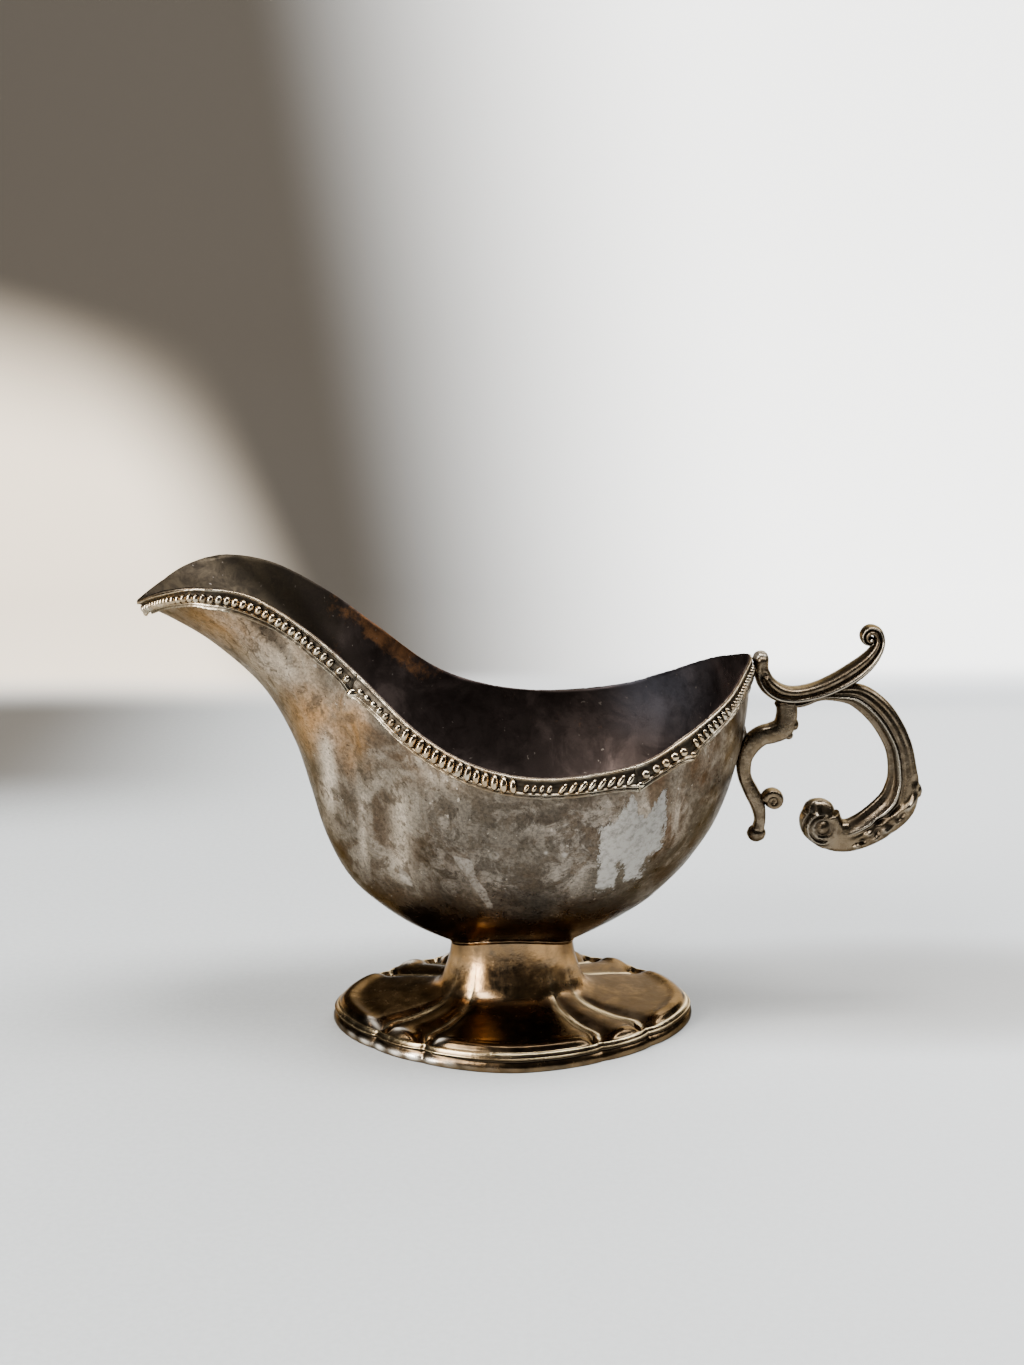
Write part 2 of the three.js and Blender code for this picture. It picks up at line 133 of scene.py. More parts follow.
def station_values(index):
    lap, place = divmod(index, LOOP)
    side = -1 if place <= BACK else 1
    a, out, up, a2, out2, share, turn = RIM_STATIONS[place if side < 0 else LOOP - place]
    reach = [v * (LIP_REACH if v < 0 else BACK_REACH) for v in (a, a2)]
    height = RIM_LOW + up * (RIM_CREST - RIM_LOW)
    return (reach[0], side * out * HALF_WIDTH, SEAT_HEIGHT + height,
            reach[1], side * out2 * HALF_WIDTH, SEAT_HEIGHT + share * height,
            360 * lap + (turn if side < 0 else 360 - turn))


STATION_TABLE = np.array([station_values(i) for i in range(-3, LOOP + 4)], float)


def through(table, place):
    """A smooth line through the rows of a table, at a place counted in rows."""
    place = np.asarray(place, float)
    first = np.clip(np.floor(place).astype(int), 0, len(table) - 2)
    f = (place - first)[..., None]
    p, q, r, t = (table[np.clip(first + k, 0, len(table) - 1)] for k in (-1, 0, 1, 2))
    return q + 0.5 * f * (r - p + f * (2 * p - 5 * q + 4 * r - t + f * (3 * (q - r) + t - p)))


def seat_point(angle):
    c, n = np.cos(angle), np.sin(angle)
    return np.stack([STEM[0] * c, STEM[1] * n, SEAT_HEIGHT + SEAT_SADDLE * n * n], -1)


def wall_point(s, t):
    """The wall's outer face: s goes round the rim in stations, t from the stem at 0 to the rim at 1."""
    s, t = np.broadcast_arrays(np.asarray(s, float), np.asarray(t, float))
    values = through(STATION_TABLE, s + 3)
    angle = math.pi + np.radians(values[..., 6])
    c, n = np.cos(angle), np.sin(angle)
    front = c < 0
    low = np.stack([
        0.79 * np.where(front, LIP_REACH, BACK_REACH) * c,
        0.622 * HALF_WIDTH * n,
        SEAT_HEIGHT + np.where(front, 23.5, 15.7) * c * c + 10 * n * n,
    ], -1)
    t = t[..., None]
    u = 1 - t
    return u**3 * seat_point(angle) + 3 * u * u * t * low + 3 * u * t * t * values[..., 3:6] + t**3 * values[..., :3]


def wall_normal(s, t):
    step = 1e-3
    s, t = np.asarray(s, float), np.asarray(t, float)
    du = wall_point(s + step, t) - wall_point(s - step, t)
    dv = wall_point(s, np.minimum(t + step, 1)) - wall_point(s, np.maximum(t - step, 0))
    normal = np.cross(du, dv)
    return normal / np.linalg.norm(normal, axis=-1, keepdims=True) * OUTWARD


OUTWARD = 1
OUTWARD = 1 if wall_normal(9.1, 0.7)[1] < 0 else -1

RIM_PLACES = np.linspace(0, LOOP, 5601)
RIM_LINE = wall_point(RIM_PLACES, 1.0)
RIM_LENGTHS = np.concatenate([[0], np.cumsum(np.linalg.norm(np.diff(RIM_LINE, axis=0), axis=1))])


def rim_length(start, end):
    return np.interp(end, RIM_PLACES, RIM_LENGTHS) - np.interp(start, RIM_PLACES, RIM_LENGTHS)


def rim_places(start, end, count):
    ends = np.interp([start, end], RIM_PLACES, RIM_LENGTHS)
    return np.interp(np.linspace(*ends, count), RIM_LENGTHS, RIM_PLACES)


def down_the_wall(s, distance):
    """The place on the wall that lies a distance below the rim, square to the rim's run."""
    step = 1e-3
    up = (wall_point(s, 1.0) - wall_point(s, 1 - step)) / step
    on = (wall_point(s + step, 1.0) - wall_point(s - step, 1.0)) / (2 * step)
    slant = np.sum(up * on, -1) / np.sum(on * on, -1)
    turn = distance / np.linalg.norm(up - slant[..., None] * on, axis=-1)
    return s + slant * turn, 1 - turn


def ease(value, start, end):
    f = np.clip((value - start) / (end - start), 0, 1)
    return f * f * (3 - 2 * f)


def hill(value, middle, spread):
    return np.exp(-(((value - middle) / spread) ** 2))


def between(value, rise, full, fade, end):
    """0 up to the rise, 1 from full to fade, and 0 again from the end on."""
    return ease(value, rise, full) * (1 - ease(value, fade, end))


def circle(count):
    return np.linspace(0, 2 * math.pi, count + 1)[:-1]


def swell(points):
    """How far the hand-raised wall stands off its true line."""
    x, y, z = np.moveaxis(points, -1, 0)
    side = np.abs(y)
    soft = np.sin(x / 6.1 + 1.4 * np.sin(z / 9)) * np.sin(z / 7.3 + side / 13)
    fine = np.sin(x / 2.7 + z / 3.9) * np.sin(z / 3.1 - x / 5.7 + side / 4)
    dents = mm(settings().dents) * (soft + 0.35 * fine)
    fold = 0.75 * hill(x, -33.2 - 0.05 * (z - 60), 1.9) * between(z, 40, 52, 80, 90)
    hollow = -0.45 * hill(x, -28.6, 2.6) * between(z, 44, 54, 74, 84)
    pull = 0.35 * hill(x, 40.5 - 0.12 * (70 - z), 2.4) * between(z, 46, 60, 76, 84)
    return (dents + fold + hollow + pull) * ease(z, 25, 34)


# ---- Modelling ----
def start_fresh():
    if bpy.context.object and bpy.context.object.mode != "OBJECT":
        bpy.ops.object.mode_set(mode="OBJECT")
    bpy.ops.object.select_all(action="DESELECT")


def draw_out(name, rings, tones=None, closed=False):
    """Starts from a circle and pulls it out through rings of points, in millimetres.
    Tones are named numbers for every point of every ring, kept on the mesh for its finish."""
    start_fresh()
    rings = [row(ring) for ring in rings]
    if closed:
        rings.append(rings[0])
    bpy.ops.mesh.primitive_circle_add(vertices=len(rings[0]), enter_editmode=True)
    piece = bpy.context.object
    piece.name = piece.data.name = name
    mesh = bmesh.from_edit_mesh(piece.data)
    column, turn = mesh.verts.layers.int.new("column"), mesh.verts.layers.int.new("turn")
    for number, vert in enumerate(mesh.verts):
        vert[column] = number
        vert.co = rings[0][number]
    for count, ring in enumerate(rings[1:], 1):
        bpy.ops.mesh.extrude_region_move()
        mesh = bmesh.from_edit_mesh(piece.data)
        column, turn = mesh.verts.layers.int["column"], mesh.verts.layers.int["turn"]
        places = ring.tolist()
        for vert in mesh.verts:
            if vert.select:
                vert[turn] = count
                vert.co = places[vert[column]]
    if closed:
        bpy.ops.mesh.select_all(action="SELECT")
        bpy.ops.mesh.remove_doubles(threshold=1e-8)
    else:
        bpy.ops.mesh.edge_face_add()
        bpy.ops.mesh.select_all(action="DESELECT")
        mesh = bmesh.from_edit_mesh(piece.data)
        turn = mesh.verts.layers.int["turn"]
        for vert in mesh.verts:
            vert.select = vert[turn] == 0
        mesh.select_flush(True)
        bpy.ops.mesh.edge_face_add()
    bpy.ops.mesh.select_all(action="SELECT")
    bpy.ops.mesh.normals_make_consistent(inside=False)
    bpy.ops.object.mode_set(mode="OBJECT")
    bpy.ops.object.shade_smooth()
    data = piece.data
    where = np.zeros((2, len(data.vertices)), int)
    for line, layer in zip(where, ("turn", "column")):
        data.attributes[layer].data.foreach_get("value", line)
    for tone, values in (tones or {}).items():
        values = np.asarray(values, float)
        values = values[where[0] % len(values), where[1]]
        data.attributes.new(tone, "FLOAT", "POINT").data.foreach_set("value", values.astype(np.float32))
    for layer in ("turn", "column"):
        data.attributes.remove(data.attributes[layer])
    return piece


def join(pieces, name):
    start_fresh()
    for piece in pieces:
        piece.select_set(True)
    bpy.context.view_layer.objects.active = pieces[0]
    if len(pieces) > 1:
        bpy.ops.object.join()
    bpy.ops.object.transform_apply(location=True, rotation=True, scale=True)
    piece = bpy.context.object
    piece.name = piece.data.name = name
    return piece


def knob(at, size, rough=0.0, segments=28):
    """A rounded lump at a point, in millimetres, with a grainy face where rough is over 0."""
    start_fresh()
    bpy.ops.mesh.primitive_uv_sphere_add(segments=segments, ring_count=segments // 2, radius=1)
    piece = bpy.context.object
    bpy.ops.object.shade_smooth()
    for vert in piece.data.vertices:
        x, y, z = vert.co
        coarse = math.sin(9 * x + 4 * y) * math.sin(8 * z - 5 * x)
        grain = 1 + rough * (coarse + 0.6 * math.sin(17 * y + 13 * z + 3 * x))
        vert.co = row([at[0] + x * size[0] * grain, at[1] + y * size[1] * grain, at[2] + z * size[2] * grain])
    return piece


def finished(piece, node, finish):
    piece.data.materials.clear()
    piece.data.materials.append(finish)
    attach(piece, "root")
    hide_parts(node)
    return piece


# ---- Finishes ----
class Finish:
    """One material. Each method adds a node and returns its output; a string stands for a piece's tone."""

    def __init__(self, name):
        self.material = bpy.data.materials.new(name)
        self.material.use_nodes = True
        self.tree = self.material.node_tree
        self.tree.nodes.clear()
        self.shader = self.tree.nodes.new("ShaderNodeBsdfPrincipled")
        output = self.tree.nodes.new("ShaderNodeOutputMaterial")
        self.tree.links.new(self.shader.outputs[0], output.inputs[0])
        self.here = self.tree.nodes.new("ShaderNodeTexCoord").outputs["Object"]
        self.base = None

    def put(self, socket, value):
        if isinstance(value, str):
            value = self.tone(value)
        if isinstance(value, bpy.types.NodeSocket):
            self.tree.links.new(value, socket)
        elif hasattr(value, "__len__"):
            value = tuple(value)
            socket.default_value = value + (1,) * (len(socket.default_value) - len(value))
        else:
            socket.default_value = value

    def feed(self, sockets, values):
        for socket, value in zip(sockets, values):
            self.put(socket, value)

    def set(self, **values):
        """Sets the shader's inputs, with _ for a space in a name, and returns the material."""
        for name, value in values.items():
            self.put(self.shader.inputs[name.replace("_", " ")], value)
        return self.material

    def node(self, kind, settings=None, **values):
        node = self.tree.nodes.new("ShaderNode" + kind)
        for name, value in (settings or {}).items():
            setattr(node, name, value)
        for name, value in values.items():
            self.put(node.inputs[name], value)
        return node

    def noise(self, size, detail=4, rough=0.55, warp=0.0, stretch=(1, 1, 1), shift=(0, 0, 0)):
        """Cloudy noise; size is its grain in millimetres."""
        place = self.node("Mapping", Vector=self.here, Scale=stretch, Location=shift).outputs[0]
        return self.node("TexNoise", Vector=place, Scale=1000 / size, Detail=detail, Roughness=rough,
                         Distortion=warp).outputs[0]

    def vector(self, operation, *values, **named):
        node = self.node("VectorMath", {"operation": operation}, **named)
        self.feed(node.inputs, values)
        return node

    def cracks(self, size, warp):
        """Distance to the nearest of a net of cracks; size and warp in millimetres."""
        shake = self.node("TexNoise", Vector=self.here, Scale=1000 / size, Detail=3).outputs[1]
        part = self.vector("SCALE", shake, Scale=warp / 1000).outputs[0]
        place = self.vector("ADD", self.here, part).outputs[0]
        return self.node("TexVoronoi", {"feature": "DISTANCE_TO_EDGE"}, Vector=place, Scale=1000 / size).outputs[0]

    def tone(self, name):
        return self.node("Attribute", {"attribute_name": name}).outputs["Fac"]

    def step(self, value, low, high, to_low=0.0, to_high=1.0):
        node = self.node("MapRange", {"interpolation_type": "SMOOTHSTEP"})
        self.feed(node.inputs, (value, low, high, to_low, to_high))
        return node.outputs[0]

    def math(self, operation, a, b):
        node = self.node("Math", {"operation": operation})
        self.feed(node.inputs, (a, b))
        return node.outputs[0]

    def times(self, first, *more):
        return self.math("MULTIPLY", first, self.times(*more)) if more else first

    def plus(self, a, b):
        return self.math("ADD", a, b)

    def minus(self, a, b):
        return self.math("SUBTRACT", a, b)

    def larger(self, a, b):
        return self.math("MAXIMUM", a, b)

    def mix(self, amount, a, b, blend="MIX"):
        node = self.node("Mix", {"data_type": "RGBA", "blend_type": blend})
        self.feed((node.inputs[0], node.inputs[6], node.inputs[7]), (amount, a, b))
        return node.outputs[2]

    def coat(self, colour, *amounts, blend="MIX"):
        """Lays a colour over the base so far, by the product of the amounts."""
        self.base = self.mix(self.times(*amounts), self.base, colour, blend)

    def spot(self, x, z, size, edge=0.3):
        """A mark on the near wall, round in the XZ plane; sizes in millimetres."""
        flat = self.vector("MULTIPLY", self.here, (1, 0, 1)).outputs[0]
        away = self.vector("DISTANCE", flat, ((x + FOOT_AT) / 1000, 0, z / 1000)).outputs[1]
        return self.times(self.step(away, (size - edge) / 1000, (size + edge) / 1000, 1.0, 0.0), "near")

    def bump(self, height, depth, strength=1.0):
        return self.node("Bump", Height=height, Distance=depth / 1000, Strength=strength).outputs[0]


def shade(rgb, amount):
    return tuple(c * amount for c in rgb)


def bowl_finish():
    look = settings()
    f = Finish("worn_plate")
    clouds = f.noise(15, 6, 0.62, 0.9)
    mottle = f.noise(4.2, 7, 0.7, 0.5, shift=(0.3, 0, 0.1))
    grain = f.noise(0.8, 5, 0.72)
    drips = f.noise(6, 6, 0.65, 0.4, stretch=(1, 1, 0.18), shift=(0, 0.2, 0))
    patchy = f.step(f.noise(7, 7, 0.72, 0.9, shift=(0.2, 0.6, 0.3)), 0.45, 0.57)
    rubbed = f.step(f.noise(9, 6, 0.66, shift=(0.5, 0.1, 0)), 0.46, 0.66)
    soot = f.step(f.noise(24, 4, 0.55, 0.6, shift=(0.9, 0.2, 0.4)), 0.46, 0.62)
    pits = f.step(f.noise(1.1, 3, 0.5, shift=(0.7, 0, 0)), 0.64, 0.7)
    flecks = f.step(f.noise(1.5, 2, 0.5, shift=(0, 0.7, 0.2)), 0.71, 0.75)
    crackle = f.times(f.step(f.cracks(7, 5), 0.0, 0.035, 1.0, 0.0), f.step(f.noise(8, 2), 0.5, 0.6), "tan", 0.7)
    f.base = f.mix(f.step(clouds, 0.42, 0.58), shade(look.silver, 0.76), (0.125, 0.096, 0.068))
    f.coat(f.mix(patchy, (0.29, 0.275, 0.25), (0.07, 0.062, 0.053)), "smoky", 0.85)
    f.coat((0.40, 0.325, 0.23), "tan", f.step(clouds, 0.3, 0.6, 1.0, 0.45))
    f.coat((0.095, 0.06, 0.038), rubbed, "brown")
    f.coat(shade(look.silver, 0.95), f.step(drips, 0.5, 0.68), "streaked")
    f.coat((0.10, 0.072, 0.05), f.step(drips, 0.5, 0.36, 0.0, 0.75), "streaked")
    # brass showing through, and a painted golden reflection just above the stem
    f.coat(shade(look.brass, 1.05), "golden", f.step(mottle, 0.3, 0.62, 0.6, 1.0))
    # painted highlight: cream streaks where the wall catches the light
    f.coat((0.95, 0.88, 0.77), "pale", f.step(drips, 0.3, 0.6, 0.6, 1.0))
    f.coat(shade(look.tarnish, 0.9), f.step(mottle, 0.5, 0.61), 0.75)
    f.coat((0.105, 0.096, 0.08), soot, f.step("tan", 0.2, 0.7, 0.65, 0.1))
    f.coat(f.mix(f.step(mottle, 0.4, 0.6), (0.21, 0.15, 0.10), (0.11, 0.08, 0.056)), "low")
    f.coat(f.mix(f.step(grain, 0.36, 0.64), (0.62, 0.62, 0.62), (1.35, 1.33, 1.3)), 0.75, blend="MULTIPLY")
    f.coat(shade(look.tarnish, 0.4), pits, 0.7)
    f.coat((0.66, 0.63, 0.57), flecks, 0.5)
    f.coat(shade(look.tarnish, 0.4), crackle)
    gloss = f.plus(f.step(mottle, 0.3, 0.7, 0.25, 0.42), f.times("low", -0.14))
    # peeled patches of bare, matt primer
    shred = f.minus(f.noise(3.0, 8, 0.8, stretch=(1, 1, 0.45)), 0.5)
    peeled = f.step(f.plus("peeled", f.times(shred, 10.0)), -0.1, 0.1)
    faint = f.step(f.plus("faint", f.times(shred, 2.6)), -0.15, 0.15)
    marks = f.plus(f.spot(8, 55.3, 0.4, 0.4), f.spot(12.4, 54.6, 0.55, 0.5))
    ring = f.minus(f.spot(-3.9, 54.3, 1.1), f.spot(-3.9, 54.3, 0.75, 0.4))
    white = f.larger(peeled, f.times(f.larger(marks, f.times(ring, 0.5)), 0.7))
    white = f.larger(white, f.times(faint, f.step(grain, 0.35, 0.6, 0.12, 0.42)))
    primer = f.mix(f.step(f.noise(1.6, 5, 0.7), 0.42, 0.7), (0.40, 0.375, 0.335), (0.20, 0.185, 0.16))
    outside = f.mix(white, f.base, primer)
    outside = f.mix(white, f.mix(1.0, outside, (0.74, 0.67, 0.605), "MULTIPLY"), outside)
    # the lining
    rusty = f.step(f.plus("rusty", f.times(f.minus(f.noise(6, 7, 0.72), 0.5), 2.2)), 0.45, 0.9)
    f.base = f.mix(f.step(clouds, 0.45, 0.62), look.lining, shade(look.lining, 1.9))
    f.coat(f.mix(f.step(mottle, 0.35, 0.65), (0.05, 0.039, 0.026), (0.024, 0.019, 0.014)), "spout")
    f.coat((0.27, 0.125, 0.05), rusty, f.step(mottle, 0.3, 0.6, 0.35, 0.8))
    f.coat((0.16, 0.165, 0.20), "haze")
    f.coat((0.4, 0.34, 0.29), flecks, 0.35)
    height = f.plus(f.plus(f.times(grain, 0.35), f.times(mottle, 0.9)), f.times(white, 0.9))
    return f.set(
        Base_Color=f.mix("within", outside, f.base),
        Specular_Tint=f.mix("within", (0.42, 0.39, 0.35), (0.17, 0.14, 0.12)),
        Metallic=f.minus(1.0, f.times(white, 0.95)),
        Roughness=f.plus(f.larger(gloss, f.times(white, 0.75)), f.times("within", 0.2)),
        Normal=f.bump(height, 0.10, 0.55),
    )


def border_finish():
    look = settings()
    f = Finish("border_plate")
    mottle = f.noise(3.2, 5, 0.65)
    f.base = f.mix(f.step(mottle, 0.38, 0.66), shade(look.silver, 1.35), shade(look.tarnish, 2.0))
    f.coat((0.55, 0.42, 0.27), f.step(f.noise(11, 3, 0.5), 0.45, 0.6), 0.5)
    f.coat((0.84, 0.775, 0.67), 1.0, blend="MULTIPLY")
    # tarnish and painted shade in the hollows of the strip
    f.coat(shade(look.tarnish, 0.22), "deep", 0.95)
    return f.set(Base_Color=f.base, Metallic=1.0, Specular_Tint=(0.5, 0.47, 0.42),
                 Roughness=f.plus(f.step(mottle, 0.3, 0.7, 0.14, 0.28), f.times("deep", 0.25)),
                 Normal=f.bump(f.noise(0.8, 3, 0.6), 0.06, 0.45))


def foot_finish():
    look = settings()
    f = Finish("bare_brass")
    clouds = f.noise(9, 5, 0.6, 0.8)
    mottle = f.noise(2.4, 5, 0.65)
    streaks = f.noise(5, 4, 0.6, stretch=(0.22, 0.22, 1))
    f.base = f.mix(f.step(clouds, 0.4, 0.62), (0.165, 0.11, 0.06), (0.06, 0.042, 0.026))
    f.coat(shade(look.brass, 0.95), "stem", f.step(clouds, 0.3, 0.66, 1.0, 0.45))
    f.coat((0.35, 0.27, 0.19), "stem", f.step(streaks, 0.5, 0.62), 0.4)
    f.coat((0.115, 0.085, 0.058), "grey", f.step(mottle, 0.4, 0.6, 0.3, 0.85))
    # tarnish and painted shade in the creases and grooves
    f.coat(shade(look.tarnish, 0.35), "deep", 0.85)
    # painted dark reflection on the stem's front and painted shade under the bowl
    f.coat((0.12, 0.095, 0.07), "dim", f.step(mottle, 0.3, 0.62, 0.95, 0.55))
    f.coat((0.82, 0.775, 0.70), 1.0, blend="MULTIPLY")
    # worn gold lines, partly painted highlight
    f.coat((0.74, 0.58, 0.34), "worn", f.step(mottle, 0.3, 0.6, 0.65, 1.0))
    # painted highlight
    f.coat((0.95, 0.9, 0.8), "gleam")
    return f.set(Base_Color=f.base, Metallic=f.minus(1.0, f.times("gleam", 0.75)), Specular_Tint=(0.5, 0.47, 0.44),
                 Roughness=f.plus(f.step(mottle, 0.3, 0.7, 0.15, 0.28), f.times("grey", 0.24)),
                 Normal=f.bump(f.plus(f.noise(1.1, 4, 0.6), f.noise(6, 3, 0.5)), 0.09, 0.4))


def cast_finish():
    look = settings()
    f = Finish("cast_metal")
    mottle = f.noise(2.6, 6, 0.68)
    grainy = f.step(f.noise(0.8, 4, 0.7), 0.4, 0.6)
    f.base = f.mix(f.step(mottle, 0.4, 0.64), (0.29, 0.238, 0.175), (0.13, 0.10, 0.068))
    f.coat((0.27, 0.205, 0.13), f.step(f.noise(8, 4, 0.6), 0.45, 0.62), 0.55)
    # painted highlight along the ridges; tarnish and painted shade in the hollows
    f.coat(shade(look.silver, 1.35), "ridge")
    f.coat(shade(look.tarnish, 0.55), "deep", 0.8)
    f.coat(f.mix(grainy, (0.58, 0.55, 0.48), (0.25, 0.22, 0.18)), "solder")
    f.coat((0.55, 0.515, 0.47), 1.0, blend="MULTIPLY")
    return f.set(Base_Color=f.base, Metallic=f.step("solder", 0.0, 1.0, 1.0, 0.75), Specular_Tint=(0.45, 0.42, 0.37),
                 Roughness=f.plus(f.step(mottle, 0.3, 0.7, 0.2, 0.36), f.times("ridge", -0.08)),
                 Normal=f.bump(f.plus(f.noise(0.7, 4, 0.65), f.noise(2.4, 3, 0.5)), 0.12, 0.5))


def solder_finish():
    f = Finish("solder")
    mottle = f.noise(1.2, 5, 0.7)
    return f.set(Base_Color=f.mix(f.step(mottle, 0.38, 0.62), (0.34, 0.30, 0.24), (0.16, 0.13, 0.1)),
                 Metallic=0.9, Roughness=0.42, Normal=f.bump(mottle, 0.2, 0.7))


FINISH_MAKERS = {"plate": bowl_finish, "border": border_finish, "bare_brass": foot_finish, "cast": cast_finish,
                 "solder": solder_finish}
FINISHES = {}


def finish_for(name):
    if name not in FINISHES:
        FINISHES[name] = FINISH_MAKERS[name]()
    return FINISHES[name]


# ---- Bowl ----
# Outlines of the peeled patches on the near wall, in millimetres: along and up.
PEELED_PATCH = [(20, 43), (20, 59.5), (25, 64), (27.8, 68.6), (29.3, 63.6), (31.6, 63), (35.4, 69.5), (36.2, 61),
                (34.8, 53.5), (31.8, 51), (30.2, 45.5), (26.6, 45), (26.2, 50.5), (24.6, 51), (24, 43.5)]
PEELED_FLAKE = [(-13.8, 53.2), (-9, 52.8), (-8.2, 48.5), (-4.2, 38.6), (-5.4, 38.2), (-10.2, 47)]
PEELED_CHIP = [(-27, 46), (-24.6, 44.5), (-23.8, 40.5), (-26.6, 42)]


def inside_outline(x, z, outline):
    """Distance in from an outline's edge; it is negative outside."""
    away = np.full(x.shape, 1e9)
    within = np.zeros(x.shape, bool)
    for (x1, z1), (x2, z2) in zip(outline, outline[1:] + outline[:1]):
        dx, dz = x2 - x1, z2 - z1
        f = np.clip(((x - x1) * dx + (z - z1) * dz) / (dx * dx + dz * dz), 0, 1)
        away = np.minimum(away, np.hypot(x - x1 - f * dx, z - z1 - f * dz))
        if dz:
            within ^= ((z1 > z) != (z2 > z)) & (x < x1 + (z - z1) * dx / dz)
    return np.where(within, away, -away)


def floor_point(seam, share, lift):
    z = SEAT_HEIGHT + (seam[..., 2] - SEAT_HEIGHT) * share * share + lift
    return np.stack([seam[..., 0] * share, seam[..., 1] * share, z], -1)


def patch(x, z, shows, limit, *outlines):
    """How far inside the outlines a point lies, up to a limit; where nothing shows it lies outside."""
    inside = np.max([inside_outline(x, z, outline) for outline in outlines], axis=0)
    return np.where(shows, np.clip(inside, -limit, limit), -limit)


def bowl_tones(x, y, z, within, below):
    shows = (y < 0) & (within == 0)
    far = y > 0
    tones = {
        "within": within,
        "near": y < 0,
        "tan": ease(-x, 38, 52) * ease(z, 60, 80) * 0.9 + 0.35 * hill(x, 0, 22) * hill(z, 71, 4),
        # brass showing through the worn plate; the spot low on the left, just above the stem, is a painted golden
        # reflection
        "golden": 0.9 * hill(x, -9, 6) * (1 - ease(z, 23.5, 27)) + 0.95 * hill(x, -46, 6) * hill(z, 81, 9)
        + 0.55 * hill(x, -36.5, 3.2) * between(z, 62, 76, 84, 92) + 0.5 * hill(x, -70, 9) * hill(z, 104, 6),
        # painted highlight streaks, where the raised wall and its folds catch the light
        "pale": 0.95 * hill(x, -43.5, 2.2) * between(z, 50, 58, 74, 84)
        + 0.9 * hill(x, -26, 2.4) * between(z, 40, 48, 62, 70)
        + 0.7 * hill(x, -35.5, 1.0) * between(z, 42, 50, 66, 76) + 0.5 * hill(x, -57, 7) * hill(z, 95, 6),
        "streaked": ease(-x, 20, 40) * 0.8 + ease(x, 26, 42) * 0.9,
        "smoky": between(x, -26, -14, 20, 34) * ease(z, 36, 44),
        "brown": 0.3 + 0.7 * ease(x, 16, 42) + 0.3 * ease(-x, 28, 40),
        "low": 1 - ease(z, 30.5, 38.5),
        "spout": ease(-x, 30, 62),
        "rusty": 0.95 * hill(x, -32, 14) * (1 - ease(below, 2, 13)) * far
        + 0.62 * hill(x, -47, 7) * hill(z, 88, 9) * far + 0.3 * hill(x, 22, 18) * hill(z, 66, 9),
        "haze": 0.6 * hill(x, 38, 10) * ease(z, 58, 80) * ease(y, -12, 24),
    }
    tones = {name: np.clip(values, 0, 1) for name, values in tones.items()}
    tones["peeled"] = patch(x, z, shows, 4, PEELED_PATCH)
    tones["faint"] = patch(x, z, shows, 3, PEELED_FLAKE, PEELED_CHIP)
    return tones


def bowl_piece():
    thick = mm(settings().wall)
    s = rim_places(0, LOOP, 465)[:-1]

    def ring(t, distance):
        face = wall_point(s, t)
        return face + wall_normal(s, t) * (distance + swell(face))[..., None]

    seam = wall_point(s, 0.0)
    floor_shares = (0.03, 0.3, 0.6, 0.85)
    outer_levels = 1 - (1 - np.linspace(0, 1, 84)) ** 1.2
    inner_levels = (1 - (1 - np.linspace(0, 1, 54)) ** 1.2)[::-1]
    top = wall_point(s, 1.0)
    across = wall_normal(s, 1.0)
    up = top - wall_point(s, 0.995)
    up /= np.linalg.norm(up, axis=-1, keepdims=True)
    worn = (0.12 + 0.16 * between(s, 8, 13, 15, 20))[:, None]
    jag = np.maximum(0, np.sin(s * 41) * np.sin(s * 23.7 + 1) * np.sin(s * 9.1))[:, None] * worn
    nick = (1.3 * hill(s, 25.35, 0.055))[:, None]
    lip = [top + across * out * thick + up * (lift * thick - jag - nick)
           for out, lift in ((0, 0), (-0.08, 0.22), (-0.3, 0.36), (-0.6, 0.36), (-0.88, 0.22))]
    rings = [floor_point(seam, share, 0) for share in floor_shares]
    rings += [ring(t, 0) for t in outer_levels[:-1]] + lip
    # the lip's last rings already belong to the lining
    inner_start = len(rings) - 3
    rings += [ring(t, -thick) for t in inner_levels]
    rings += [floor_point(seam, share, thick) for share in floor_shares[::-1]]
    x, y, z = np.moveaxis(np.array(rings), -1, 0)
    within = np.zeros(x.shape)
    within[inner_start:] = 1
    return draw_out("sauce_bowl", rings, bowl_tones(x, y, z, within, top[:, 2] - z))


# ---- Border ----
# Section of a strip, in millimetres: out from the wall, down from the rim, and how dark it lies, as tarnish and painted
# shade in its hollows.
BORDER_SECTION = [
    (-0.25, 0.3, 0.2), (-0.05, 0.0, 0), (0.14, -0.1, 0), (0.32, 0.0, 0), (0.36, 0.2, 0.2), (0.26, 0.4, 0.9),
    (0.18, 0.7, 1), (0.18, 1.0, 1), (0.26, 1.3, 1), (0.42, 1.55, 1), (0.5, 1.8, 1), (0.5, 2.4, 1),
    (0.42, 2.9, 1), (0.42, 3.15, 1), (0.72, 3.28, 0.5), (0.98, 3.42, 0.15), (1.02, 3.58, 0.15), (0.74, 3.76, 1),
    (0.78, 3.92, 0.8), (1.15, 4.06, 0.3), (1.18, 4.26, 0.4), (0.95, 4.48, 0.6), (0.4, 4.6, 0.7), (-0.25, 4.6, 0.8),
    (-0.3, 2.5, 1),
]
BORDER_DEPTH = 4.6
CUSP_DROP = 1.7
CUSP_SPREAD = 2.4
BEAD_LINE = 2.12  # how far below the rim the beads lie
BEAD_SEAT = 0.55  # how far their middles stand out from the wall
BEAD_UNIT = 0.84  # the pearl radius for which the rows of beads give their sizes
# Lumps at the cusps and at the lip: place round the rim, down from it, and half sizes.
CUSP_KNOBS = (
    (SPOUT_CUSP, 4.6, (1.5, 0.9, 1.2)), (BACK_CUSP, 4.6, (1.0, 0.7, 0.8)),
    (BACK_CUSP + 1, 4.6, (0.9, 0.7, 0.8)), (0.16, 2.4, (0.9, 0.9, 2.0)),
)
FAR_SIDE = (1, -1, 1)
